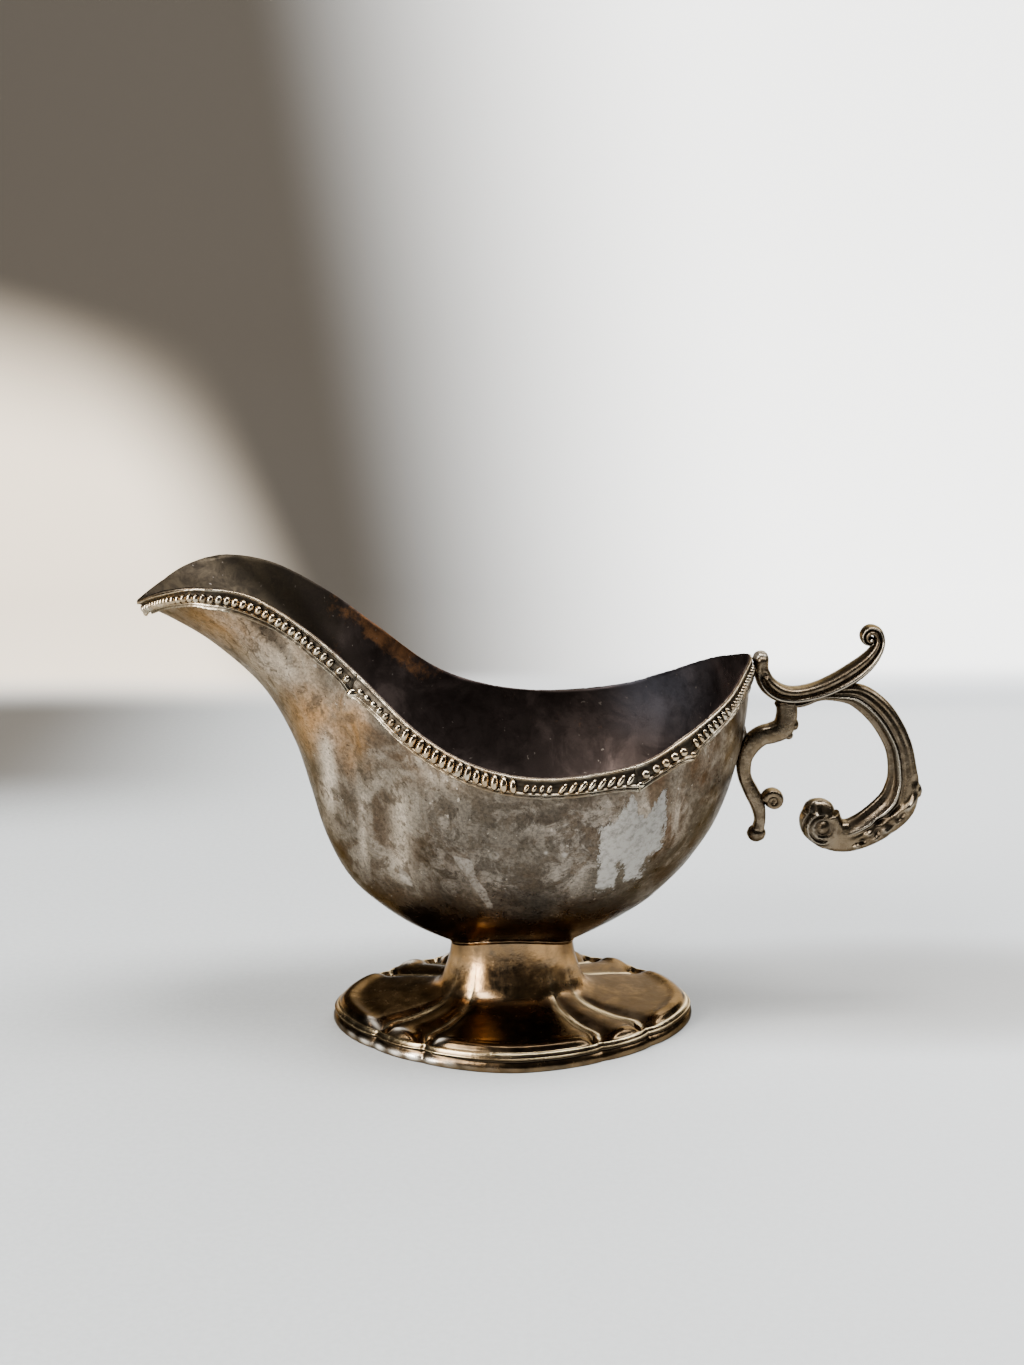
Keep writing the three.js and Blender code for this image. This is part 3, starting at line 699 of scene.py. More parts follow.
# Rows of beads between two stations: pitch, half length, half height, how proud, and tilt in degrees.
BEAD_ROWS = [
    (0.25, 5.62, 1.95, 0.95, 1.15, 1.1, 0),
    (5.66, 5.97, 2.0, 0.9, 0.9, 0.9, 0),
    (6.1, 6.42, 2.2, 0.95, 0.55, 0.5, 0),
    (6.42, 6.8, 2.0, 0.85, 0.95, 0.85, 0),
    (6.82, 8.6, 2.02, 0.96, 1.85, 1.3, 12),
    (8.66, 9.05, 1.7, 0.62, 0.95, 0.7, -20),
    (9.1, 9.97, 2.25, 0.66, 1.55, 0.8, -42),
    (10.04, 10.96, 2.5, 1.02, 1.15, 1.0, 25),
    (11.08, 12.0, 1.95, 0.62, 1.35, 0.85, 8),
    (12.05, 13.75, 1.5, 0.58, 0.85, 0.7, 12),
]


def border_depth(s):
    near = np.where(s > BACK, LOOP - s, s)
    drop = sum(np.exp(-np.abs(near - cusp) * rim_length(cusp, cusp + 1) / CUSP_SPREAD)
               for cusp in (SPOUT_CUSP, BACK_CUSP, BACK_CUSP + 1))
    return BORDER_DEPTH + CUSP_DROP * drop


def on_wall(s, down, out):
    u, v = down_the_wall(s, down)
    face = wall_point(u, v)
    return face + wall_normal(u, v) * (out + swell(face))[..., None]


def pearl():
    """One small bead, a unit in radius, to be copied."""
    start_fresh()
    bpy.ops.mesh.primitive_ico_sphere_add(subdivisions=2, radius=1)
    bead = bpy.context.object
    for vert in bead.data.vertices:
        vert.co *= 1 + 0.10 * max(0, vert.co.z) ** 3
    bpy.ops.object.shade_smooth()
    bead.name = "pearl"
    return bead


def bead_places(start, end, pitch):
    count = max(1, int(round(rim_length(start, end) / pitch)))
    return rim_places(start, end, 2 * count + 1)[1::2]


def border_strip(name, start, end, side):
    s = rim_places(start, end, int(rim_length(start, end) / 0.62))
    scale = border_depth(s) / BORDER_DEPTH
    soft = 1 - 0.45 * hill(s, SPOUT_CUSP + 0.42, 0.22)
    rings, deep = [], []
    for out, down, dark in BORDER_SECTION:
        wobble = 0.05 * np.sin(s * 37 + down) + 0.04 * np.sin(s * 71 + 2 * down)
        rings.append(on_wall(s, down * scale, np.where(out > 0, (out + wobble) * soft, out)))
        deep.append(dark + 0 * s)
    return draw_out(name, list(np.array(rings).transpose(1, 0, 2) * side), {"deep": np.array(deep).T})


def bead(model, place, sizes, tilt, side, random):
    """A copy of the pearl at a place round the rim, stretched, tilted and a little uneven."""
    uneven = 1 + random.uniform(-0.07, 0.07)
    down = BEAD_LINE * border_depth(place) / BORDER_DEPTH + random.uniform(-0.06, 0.06)
    at = on_wall(place, down, BEAD_SEAT)
    ahead = on_wall(place + 0.01, down, BEAD_SEAT) - at
    ahead /= np.linalg.norm(ahead)
    out = wall_normal(*down_the_wall(place, down))
    across = np.cross(out, ahead)
    lean = math.radians(tilt + random.uniform(-4, 4))
    long_way = ahead * math.cos(lean) + across * math.sin(lean)
    ways = np.array([long_way, np.cross(out, long_way), out * 1.15 * BEAD_UNIT])
    axes = ways * np.array(sizes)[:, None] * (mm(settings().pearl) / BEAD_UNIT * uneven) * side
    placed = Matrix((axes.T / 1000).tolist()).to_4x4()
    placed.translation = Vector(row(at * side))
    copy = model.copy()
    copy.data = model.data.copy()
    bpy.context.collection.objects.link(copy)
    copy.data.transform(placed)
    return copy


def border_piece(name, start, end, far, model, random):
    side = np.array(FAR_SIDE if far else (1, 1, 1))
    pieces = [border_strip(name, start, end, side)]
    for first, last, pitch, *sizes, tilt in BEAD_ROWS:
        if first < start or last > end:
            continue
        for place in bead_places(first, last, pitch):
            pieces.append(bead(model, place, sizes, tilt, side, random))
            if far:
                pieces[-1].data.flip_normals()
    for place, down, size in CUSP_KNOBS:
        if start - 0.01 <= place < end - 0.01:
            pieces.append(knob(on_wall(place + 0.03, down, 0.45) * side, size, 0.05, 16))
    return join(pieces, name)


# ---- Foot ----
FOOT_HALF = (44.8, 38.3)
CREASES = [math.radians(a) for b in (33.3, 55.4) for a in (b, 180 - b, 180 + b, 360 - b)]
FOOT_EDGE = 3.3
FOOT_SHEET = 1.2
FOOT_POINTS = 576  # points in each ring of the foot and its band
CROWN = (4.7 - FOOT_EDGE) / (SEAT_HEIGHT - FOOT_EDGE)
FOOT_PROFILE = np.array([(0, 0), (0.05, 0.6 * CROWN), (0.2, CROWN), (0.48, CROWN + 0.05), (0.73, CROWN + 0.11),
                         (0.88, CROWN + 0.24), (0.95, 0.58), (0.985, 0.8), (1, 1)])


def turn_from_crease(angle):
    """Signed turn to the nearest crease."""
    turns = np.array([np.arctan2(np.sin(angle - c), np.cos(angle - c)) for c in CREASES])
    return np.take_along_axis(turns, np.abs(turns).argmin(0)[None], 0)[0]


def foot_outline(angle, grow=0.0, notch=1.1):
    c, n = np.cos(angle), np.sin(angle)
    radius = (np.abs(c / FOOT_HALF[0]) ** 1.75 + np.abs(n / FOOT_HALF[1]) ** 1.75) ** (-1 / 1.75)
    cut = sum(np.exp(-np.abs(np.arctan2(np.sin(angle - k), np.cos(angle - k))) / 0.055) for k in CREASES)
    r = radius + grow - notch * cut
    return np.stack([r * c, r * n], -1)


def foot_ring(angle, v, lobes=0.0):
    """A ring of the foot from its edge at 0 to the bowl at 1; also its share of the way in, how much it is
    a crease, and how much it is the foot's worn edge."""
    share, climb = through(FOOT_PROFILE, v * (len(FOOT_PROFILE) - 1))
    top = seat_point(angle)
    edge = foot_outline(angle)
    at = edge + (top[..., :2] - edge) * share
    bend = 0.05 * hill(share, 0.24, 0.14) * np.clip(6 * np.cos(angle) * np.sin(angle), -1, 1)
    away = np.abs(turn_from_crease(angle + bend))
    width = 0.19 * (1 - 0.25 * share)
    pillow = 1 - np.exp(-(away / (0.42 * width)) ** 1.5)
    line = np.exp(-((away * np.hypot(at[..., 0], at[..., 1]) / 0.8) ** 2))
    fade = between(share, 0.028, 0.075, 0.62, 1.0)
    near_rim = 1 + 1.1 * hill(share, 0.115, 0.07)
    rise = lobes * fade * (pillow - 0.6) * near_rim + 0.95 * fade * line
    worn_edge = hill(share, 0.028, 0.012)
    z = FOOT_EDGE + climb * (top[..., 2] - FOOT_EDGE) + rise + 0.3 * worn_edge
    return np.concatenate([at, z[..., None]], -1), share, line * fade, worn_edge


def add_tones(tones, shape, **values):
    """Adds a ring of every tone that the foot's finish reads; those not given are 0."""
    for name in ("worn", "stem", "deep", "grey", "dim", "gleam"):
        tones.setdefault(name, []).append(np.clip(np.broadcast_to(values.get(name, 0.0), shape), 0, 1))


def foot_piece():
    angle = circle(FOOT_POINTS)
    way = np.degrees(angle)
    # painted highlights on the lobes near the rim, on the left
    gleams = sum(hill(way, lobe, 2.6) for lobe in (207.5, 221, 240.5, 139, 120))
    levels = np.concatenate([np.linspace(0, 0.3, 26)[:-1], np.linspace(0.3, 1, 34)])
    rings, tones = [], {}
    for v in levels:
        ring, share, line, edge = foot_ring(angle, v, mm(settings().lobes))
        beside = hill(turn_from_crease(angle), 0, 0.06) * (1 - line)
        rings.append(ring)
        add_tones(tones, angle.shape,
                  # worn gold lines on the creases and the edge; the crease lines' brightness is also a painted
                  # highlight
                  worn=line + edge * 0.95,
                  stem=ease(share, 0.72, 0.96),
                  # tarnish and painted shade beside the creases and at the very edge of the foot
                  deep=0.9 * ease(0.012 - share, 0, 0.01) + 0.35 * beside * ease(share, 0.1, 0.3),
                  # painted dark reflection on the stem's front, and painted shade at its top under the bowl
                  dim=hill(way, 262, 17) * ease(share, 0.62, 0.8) + 0.5 * ease(share, 0.97, 1.0),
                  gleam=gleams * hill(share, 0.12, 0.035),
                  grey=ease(np.cos(angle), 0.2, 0.8) * between(share, 0.08, 0.3, 0.8, 0.95))
    for v in levels[::-1][::3]:
        ring = foot_ring(angle, v)[0]
        ring[:, :2] *= 1 - FOOT_SHEET / np.hypot(ring[:, 0], ring[:, 1])[:, None]
        sunk = FOOT_SHEET * (1 - ease(v, 0.75, 0.95))
        ring[:, 2] = np.maximum(ring[:, 2] - sunk, FOOT_EDGE) - (0.3 if v > 0.98 else 0)
        rings.append(ring)
        add_tones(tones, angle.shape)
    return draw_out("lobed_foot", rings, tones, closed=True)


# Section of the band under the foot: how far it grows past the foot's edge, height, and how worn it is; the top line is
# worn gold, and the brightness low on the flange is a painted highlight.
BAND_SECTION = [
    (0.5, 0, 0), (0.62, 0.35, 0.12), (0.62, 0.8, 0.08), (0.52, 1.3, 0), (0.3, 1.8, 0), (0.0, 2.15, 0), (-0.28, 2.45, 0),
    (-0.3, 2.75, 0), (-0.05, 2.98, 0), (0.1, 3.15, 0.2), (0.06, 3.35, 0.75), (-0.15, 3.5, 0.6), (-0.8, 3.5, 0),
    (-1.7, 3.2, 0), (-1.7, 0.0, 0), (-0.6, 0, 0),
]


def band_piece():
    angle = circle(FOOT_POINTS)
    # painted highlight on the band's left side
    shine = hill(np.degrees(angle) + 4 * np.sin(angle * 9), 224, 21) * (0.55 + 0.45 * np.sin(angle * 47))
    rings, tones = [], {}
    for grow, z, bright in BAND_SECTION:
        level = min(z / 3, 1)
        flat = foot_outline(angle, grow - 0.25 * (1 - level), 0.45 + 0.55 * level)
        wobble = 0.05 * np.sin(angle * 23 + z) if grow > -0.5 and 0.2 < z < 3.3 else 0 * angle
        rings.append(np.concatenate([flat, (z + wobble)[:, None]], 1))
        add_tones(tones, angle.shape,
                  # worn top line, and a painted highlight low on the flange
                  worn=bright * (0.6 + 0.4 * np.sin(angle * 9 + 1)),
                  # tarnish and painted shade in the band's groove
                  deep=float(grow <= -0.25 and 2.3 < z < 2.9),
                  gleam=shine * hill(z, 1.1, 0.55) * (grow > 0))
    return draw_out("foot_band_moulding", rings, tones, closed=True)


def fillet_piece():
    angle = circle(288)
    seat = seat_point(angle)
    uneven = 0.12 * np.sin(angle * 13) + 0.08 * np.sin(angle * 29 + 1)
    rings, tones = [], {}
    for out, down in ((-0.4, 0.1), (0.2, -0.1), (0.55, 0.02), (0.4, 0.3), (0.15, 0.6), (0.05, 0.9), (-0.4, 1.0)):
        reach = 1 + (out + (uneven if out > 0.3 else 0)) / np.hypot(seat[:, 0], seat[:, 1])
        rings.append(np.stack([seat[:, 0] * reach, seat[:, 1] * reach, seat[:, 2] - down], -1))
        # the fillet under the bowl: brass, darkened with tarnish and painted shade
        add_tones(tones, angle.shape, stem=1, deep=0.35, dim=0.4)
    return draw_out("stem_fillet", rings, tones, closed=True)


# ---- Handle ----
HANDLE_TOP = station_values(BACK)[0], station_values(BACK)[2]
# Stations of the scrolls, from the handle's top: along, up, half width and, where it is set, half depth.
THUMB_SCROLL = [
    (2.6, -0.9, 1.9), (2.7, -3.6, 1.9), (4.1, -6.8, 2.2), (6.8, -9.0, 2.25), (9.9, -9.8, 2.15), (13.2, -9.6, 2.15),
    (17.1, -8.6, 2.25), (21.2, -6.8, 2.4), (25.2, -4.4, 2.45), (28.5, -1.7, 2.15), (30.6, 1, 1.7), (31.4, 3.4, 1.4),
    (30.8, 5.6, 1.3), (29, 6.3, 1.3), (27.7, 5.1, 1.2), (28.0, 3.6, 1.0), (29.2, 3.1, 0.75), (29.6, 3.9, 0.5),
]
C_SCROLL = [
    (7.6, -11.8, 1.1, 2.2), (12.5, -11.6, 1.35, 2.3), (17, -9.9, 1.5, 2.3), (21.5, -9.6, 2.0, 2.4),
    (26.2, -10.1, 3.0, 2.5), (30.3, -12.9, 3.35, 2.7), (33.8, -17.1, 3.4, 2.8), (36.7, -22.9, 3.35, 2.8),
    (37.8, -28.6, 3.6, 2.9), (37.9, -33.2, 4.3, 3.1), (36.6, -37.7, 4.9, 3.2), (33.1, -41.3, 4.75, 3.2),
    (29.0, -44.1, 4.45, 3.2), (25.4, -45.6, 4.2, 3.1), (23.6, -45.8, 4.15, 3.0),
]
SHELL_END = [
    (24.6, -45.75, 4.15, 2.95), (22.2, -45.6, 4.2, 3.2), (20.0, -44.4, 4.8, 3.6), (18.3, -42.6, 5.3, 3.9),
    (17.5, -41.0, 5.0, 3.8), (17.4, -39.4, 4.0, 3.3),
]
BRACKET = [
    (9.0, -11.6, 2.6), (9.1, -15.0, 2.65), (8.2, -18.0, 2.75), (5.7, -19.3, 2.6), (3.1, -20.0, 2.5), (0.8, -21.8, 2.5),
    (-0.9, -25, 2.05), (-1.3, -28, 1.85), (-0.8, -31, 1.7), (0.7, -34.2, 1.85), (2.3, -37.6, 1.8), (2.9, -41.2, 1.45),
    (2.5, -43.6, 1.5),
]
CURL_AT = (6.1, -36.4)
# Half sections of the scrolls, from the outer edge to the inner one: across, and share of the depth.
THUMB_SECTION = [(1, 0), (0.93, 0.5), (0.72, 0.86), (0.42, 0.97), (0.14, 0.88), (-0.04, 0.68), (-0.14, 0.64),
                 (-0.27, 0.78), (-0.5, 0.9), (-0.74, 0.78), (-0.93, 0.42), (-1, 0)]
SCROLL_SECTION = [(1, 0), (0.94, 0.45), (0.78, 0.74), (0.6, 0.8), (0.48, 0.76), (0.2, 0.86), (-0.02, 0.74),
                  (-0.12, 0.8), (-0.22, 1.0), (-0.32, 0.97), (-0.42, 0.7), (-0.6, 0.44), (-0.8, 0.36),
                  (-0.94, 0.28), (-1, 0)]
PLAIN_SECTION = [(1, 0), (0.93, 0.5), (0.72, 0.88), (0.35, 0.98), (0, 1), (-0.35, 0.98), (-0.72, 0.88),
                 (-0.93, 0.5), (-1, 0)]


def scroll_piece(name, stations, section, depth, steps=9, round_start=True, round_end=True, plain_start=0.0,
                 plain_end=0.0, relief=None, ridges=None):
    """A cast scroll drawn along its line, with the same section on both sides."""
    widest = max(w for x, z, w, *d in stations)
    line = np.array([(HANDLE_TOP[0] + x, HANDLE_TOP[1] + z, w, d[0] if d else depth / 2 * (0.55 + 0.45 * w / widest))
                     for x, z, w, *d in stations])
    last = len(line) - 1
    half = through(np.array(section, float), np.linspace(0, len(section) - 1, 4 * (len(section) - 1) + 1))
    plain = np.stack([half[:, 0], np.sqrt(np.clip(1 - half[:, 0] ** 2, 0, 1))], 1)
    rings, tones = [], {"deep": [], "ridge": [], "solder": []}

    def lay(place, share, ahead):
        x, z, w, d = through(line, place)
        tangent = (through(line, min(place + 0.05, last)) - through(line, max(place - 0.05, 0)))[:2]
        tangent /= np.linalg.norm(tangent)
        blend = ease(place, 0, plain_start) if plain_start else 1.0
        blend *= 1 - ease(place, last - plain_end, last) if plain_end else 1.0
        shape = plain * (1 - blend) + half * blend
        sides = np.concatenate([shape[:-1] * (1, -1), shape[::-1][:-1]])
        across, out = sides[:, 0] * share * w, sides[:, 1] * share * d
        rings.append(np.stack([x + tangent[0] * ahead * w - tangent[1] * across, out,
                               z + tangent[1] * ahead * w + tangent[0] * across], -1))
        limit = np.sqrt(np.clip(1 - sides[:, 0] ** 2, 0, 1))
        # tarnish and painted shade where the section sinks in, and a painted highlight along the ridge that ridges
        # points to
        sunk = np.clip((limit - np.abs(sides[:, 1])) * 1.9, 0, 1) ** 1.3 * (np.abs(sides[:, 0]) < 0.97) * blend
        high = hill(sides[:, 0], ridges, 0.12) * blend if ridges is not None else 0 * limit
        for tone, values in (("deep", sunk * (1 - high)), ("ridge", high), ("solder", 0 * limit)):
            tones[tone].append(values)

    cap = [(0.8 * k, math.sqrt(1 - k * k)) for k in (0.3, 0.6, 0.85, 0.97)]
    if round_start:
        for ahead, share in cap[::-1]:
            lay(0, share, -ahead)
    for place in np.linspace(0, last, last * steps + 1):
        lay(place, 1, 0)
    if round_end:
        for ahead, share in cap:
            lay(last, share, ahead)
    rings = np.array(rings)
    # the relief's hollows take tarnish and painted shade, and its tops a painted highlight
    if relief:
        height, dark, bright = relief(rings[..., 0], rings[..., 2])
        edge = np.clip(np.abs(rings[..., 1]) / (0.3 * depth), 0, 1)
        rings[..., 1] += np.sign(rings[..., 1]) * height * edge
        tones["deep"] = np.clip(np.array(tones["deep"]) + dark * edge, 0, 1)
        tones["ridge"] = np.clip(np.array(tones["ridge"]) + bright * edge, 0, 1)
    return draw_out(name, list(rings), tones)


def lumps(x, z, marks):
    """Raised and sunk spots of cast relief: along, up, radii, turn in degrees and height."""
    height = 0 * x
    for at_x, at_z, long, short, turn, rise in marks:
        c, n = math.cos(math.radians(turn)), math.sin(math.radians(turn))
        u, v = (x - at_x) * c + (z - at_z) * n, (z - at_z) * c - (x - at_x) * n
        height = height + rise * np.exp(-((u / long) ** 2 + (v / short) ** 2) ** 1.3)
    return height


def thumb_relief(x, z):
    pit = lumps(x, z, [(62.3, 87.7, 0.7, 0.6, 0, 1)])
    return -0.9 * pit, 1.4 * pit, 0 * x


# Leaf and flower on the outer side of the C-scroll.
LEAF_MARKS = [
    (98.4, 54.6, 3.0, 0.95, 50, 1.1), (94.8, 53.4, 2.2, 0.7, 52, -0.8), (101.0, 55.6, 1.8, 0.5, 60, -0.5),
    (92.7, 48.3, 1.3, 1.0, 30, 1.1), (90.2, 46.0, 0.9, 0.8, 0, 0.7), (88.4, 47.4, 1.0, 0.8, 0, 0.8),
    (85.6, 44.2, 1.3, 0.7, 20, 0.9), (95.4, 50.4, 1.1, 0.8, 40, 0.7), (91.0, 50.8, 1.7, 0.8, 20, -0.9),
    (90.5, 48.0, 0.8, 0.6, 60, -0.8), (87.0, 45.4, 0.9, 0.8, 0, -0.8), (94.2, 46.9, 0.9, 0.6, 40, -0.6),
    (96.6, 52.0, 1.2, 0.5, 40, -0.7), (99.6, 60.6, 1.0, 0.7, 60, -0.4),
]


def leaf_relief(x, z):
    height = lumps(x, z, LEAF_MARKS)
    return height, np.clip(-1.3 * height, 0, 1), np.clip(0.8 * (height - 0.45), 0, 1)


def shell_relief(x, z):
    """Ribs of the shell, curved round the eye of its volute."""
    away = np.hypot(x - 76.9, z - 49.2)
    turn = np.degrees(np.arctan2(z - 49.2, x - 76.9)) % 360
    left = between(turn, 62, 95, 262, 300)
    rib = np.cos(2 * math.pi * (away - 2.3 - (turn - 180) / 400) / 1.5)
    body = left * ease(away, 1.7, 2.4)
    moat = hill(away, 2.0, 0.55)
    eye = hill(away, 0, 1.1)
    return (0.62 * rib * body - 0.6 * moat + 0.5 * eye, np.clip(-rib * body * 1.1 + 0.8 * moat, 0, 1),
            np.clip(rib * body * 0.5, 0, 1))


def tint(piece, **values):
    """Gives a plain lump the same tones as the scroll it joins."""
    for tone in ("deep", "ridge", "solder"):
        data = piece.data.attributes.new(tone, "FLOAT", "POINT").data
        data.foreach_set("value", [values.get(tone, 0.0)] * len(data))
    return piece


def from_top(x, z):
    return HANDLE_TOP[0] + x, 0, HANDLE_TOP[1] + z


def thumb_piece():
    depth = mm(settings().handle_depth)
    body = scroll_piece("thumb", THUMB_SCROLL, THUMB_SECTION, depth, plain_start=2.2, relief=thumb_relief, ridges=-0.5)
    ball = tint(knob(from_top(2.5, -0.7), (2.0, 2.3, 2.0), 0.035), solder=0.75)
    # the eye at the scroll's end carries a painted highlight
    eye = tint(knob(from_top(29.2, 3.9), (0.85, 2.6, 0.85)), ridge=0.9)
    return join([body, ball, eye], "thumb_scroll_casting")


def c_scroll_piece():
    depth = mm(settings().handle_depth)
    body = scroll_piece("c", C_SCROLL, SCROLL_SECTION, depth, round_end=False, plain_end=3.0, relief=leaf_relief,
                        ridges=-0.27)
    bud = tint(knob(from_top(41.4, -34.4), (1.5, 1.8, 2.1), 0.03), ridge=0.1)
    return join([body, bud], "c_scroll_casting")


def shell_piece():
    depth = mm(settings().handle_depth)
    return scroll_piece("shell_volute_casting", SHELL_END, PLAIN_SECTION, depth * 1.25, steps=14, round_start=False,
                        relief=shell_relief)


def bracket_piece():
    body = scroll_piece("bracket", BRACKET, PLAIN_SECTION, 5.2, round_start=False)
    ball = tint(knob(from_top(2.1, -44.9), (2.35, 2.2, 2.2), 0.02))
    steps = [tint(knob(from_top(x, z), size, 0.02, 20)) for x, z, size in (
        (11.0, -17.2, (1.1, 2.4, 1.5)), (9.6, -19.9, (1.2, 2.3, 1.1)), (9.2, -12.0, (3.2, 2.5, 1.6)))]
    return join([body, ball] + steps, "wall_bracket_casting")


def curl_piece():
    turns = np.linspace(0, 1, 26)
    angle = -math.pi * (1.05 + 3.4 * turns)
    radius = 2.15 - 1.9 * turns
    x, z = CURL_AT
    stations = [(x + r * math.cos(a), z + r * math.sin(a), w) for r, a, w in zip(radius, angle, 1.1 - 0.45 * turns)]
    coil = scroll_piece("coil", stations, PLAIN_SECTION, 4.4, steps=3)
    # tarnish and painted shade on the curl's hub
    hub = tint(knob(from_top(x, z), (2.3, 1.7, 2.3)), deep=0.8)
    return join([coil, hub], "tail_curl_casting")


def solder_pad(name, drop, height, width, thickness):
    """A smear of solder between the wall and the casting."""
    back = wall_point(float(BACK), np.linspace(0.2, 1, 1601))
    around = circle(28)
    rings = []
    for share in np.linspace(0, 1, 12):
        z = HANDLE_TOP[1] + drop - share * height
        x = np.interp(z, back[:, 2], back[:, 0])
        full = 0.25 + 0.75 * math.sin(math.pi * share) ** 0.7
        bumps = 1 + 0.12 * np.sin(3 * around + 7 * share) * np.sin(5 * around - 4 * share)
        rings.append(np.stack([x + thickness * full * np.cos(around) * bumps,
                               width / 2 * full * np.sin(around) * bumps, z + 0 * around], -1))
    return draw_out(name, rings)


# ---- Operators ----
def make(make_piece, node, finish):
    return finished(make_piece(), node, finish_for(finish))


class SAUCEBOAT_OT_bowl(bpy.types.Operator):
    """Raise the bowl with its long pouring lip"""
    bl_idname = "sauceboat.bowl"
    bl_label = "Bowl"

    def execute(self, context):
        make(bowl_piece, "bowl", "plate")
        return {"FINISHED"}


class SAUCEBOAT_OT_border(bpy.types.Operator):
    """Lay the six strips of beaded border round the rim"""
    bl_idname = "sauceboat.border"
    bl_label = "Border"

    def execute(self, context):
        model = pearl()
        random = np.random.default_rng(7)
        parts = (("spout", 0, SPOUT_CUSP), ("side", SPOUT_CUSP, BACK_CUSP), ("back", BACK_CUSP, BACK - 0.1))
        for part, start, end in parts:
            for far in (False, True):
                name = f"border_{part}_{'far' if far else 'near'}"
                piece = border_piece(name + "_strip", start, end, far, model, random)
                finished(piece, name, finish_for("border"))
        bpy.data.objects.remove(model)
        return {"FINISHED"}


class SAUCEBOAT_OT_foot(bpy.types.Operator):
    """Make the lobed foot with its band and the fillet under the bowl"""
    bl_idname = "sauceboat.foot"
    bl_label = "Foot"

    def execute(self, context):
        make(foot_piece, "foot", "bare_brass")
        make(band_piece, "foot_band", "bare_brass")
        make(fillet_piece, "foot_solder", "bare_brass")
        return {"FINISHED"}


class SAUCEBOAT_OT_handle(bpy.types.Operator):
    """Cast the handle: thumb scroll, C-scroll, shell, bracket and curl"""
    bl_idname = "sauceboat.handle"
    bl_label = "Handle"

    def execute(self, context):
        for maker, node in ((thumb_piece, "thumb_scroll"), (c_scroll_piece, "c_scroll"),
                            (shell_piece, "c_scroll_shell"), (bracket_piece, "wall_bracket"),
                            (curl_piece, "tail_curl")):
            make(maker, node, "cast")
        return {"FINISHED"}


class SAUCEBOAT_OT_solder(bpy.types.Operator):
    """Solder the handle to the bowl's back"""
    bl_idname = "sauceboat.solder"
    bl_label = "Solder"

    def execute(self, context):
        make(lambda: solder_pad("upper_solder", -6.2, 3.2, 4.2, 0.6), "scroll_solder", "solder")
        make(lambda: solder_pad("lower_solder", -17.4, 4.0, 4.2, 1.1), "bracket_solder", "solder")
        return {"FINISHED"}


class SAUCEBOAT_OT_stage(bpy.types.Operator):
    """Set the table, the backdrop, the lights and the camera"""
    bl_idname = "sauceboat.stage"
    bl_label = "Stage"

    def execute(self, context):
        table_and_backdrop()
        lights()
        camera()
        return {"FINISHED"}


# ---- Stage ----
CAMERA_AT = (-0.00466, -0.5426, 0.2086)
SHADES_AT = 0.395  # the soft shades are laid out on an upright plane this far back, as seen from the camera
WALL_AT = 0.70
WALL_TOP = 1.1
COVE = 0.12
TABLE_FRONT = -0.3
TABLE_SIDE = 0.65


def backdrop_mesh(data):
    """A table that runs back and curves up into an upright backdrop."""
    mesh = bmesh.new()
    profile = [(TABLE_FRONT, 0.0), (WALL_AT - COVE, 0.0)]
    profile += [(WALL_AT - COVE + COVE * math.sin(a), COVE - COVE * math.cos(a))
                for a in np.linspace(0.08, math.pi / 2, 20)]
    profile += [(WALL_AT, WALL_TOP)]
    lines = [[mesh.verts.new((x, y, z)) for x in (-TABLE_SIDE, TABLE_SIDE)] for y, z in profile]
    for low, high in zip(lines, lines[1:]):
        mesh.faces.new((low[0], low[1], high[1], high[0]))
    mesh.to_mesh(data)
    mesh.free()
    for polygon in data.polygons:
        polygon.use_smooth = True


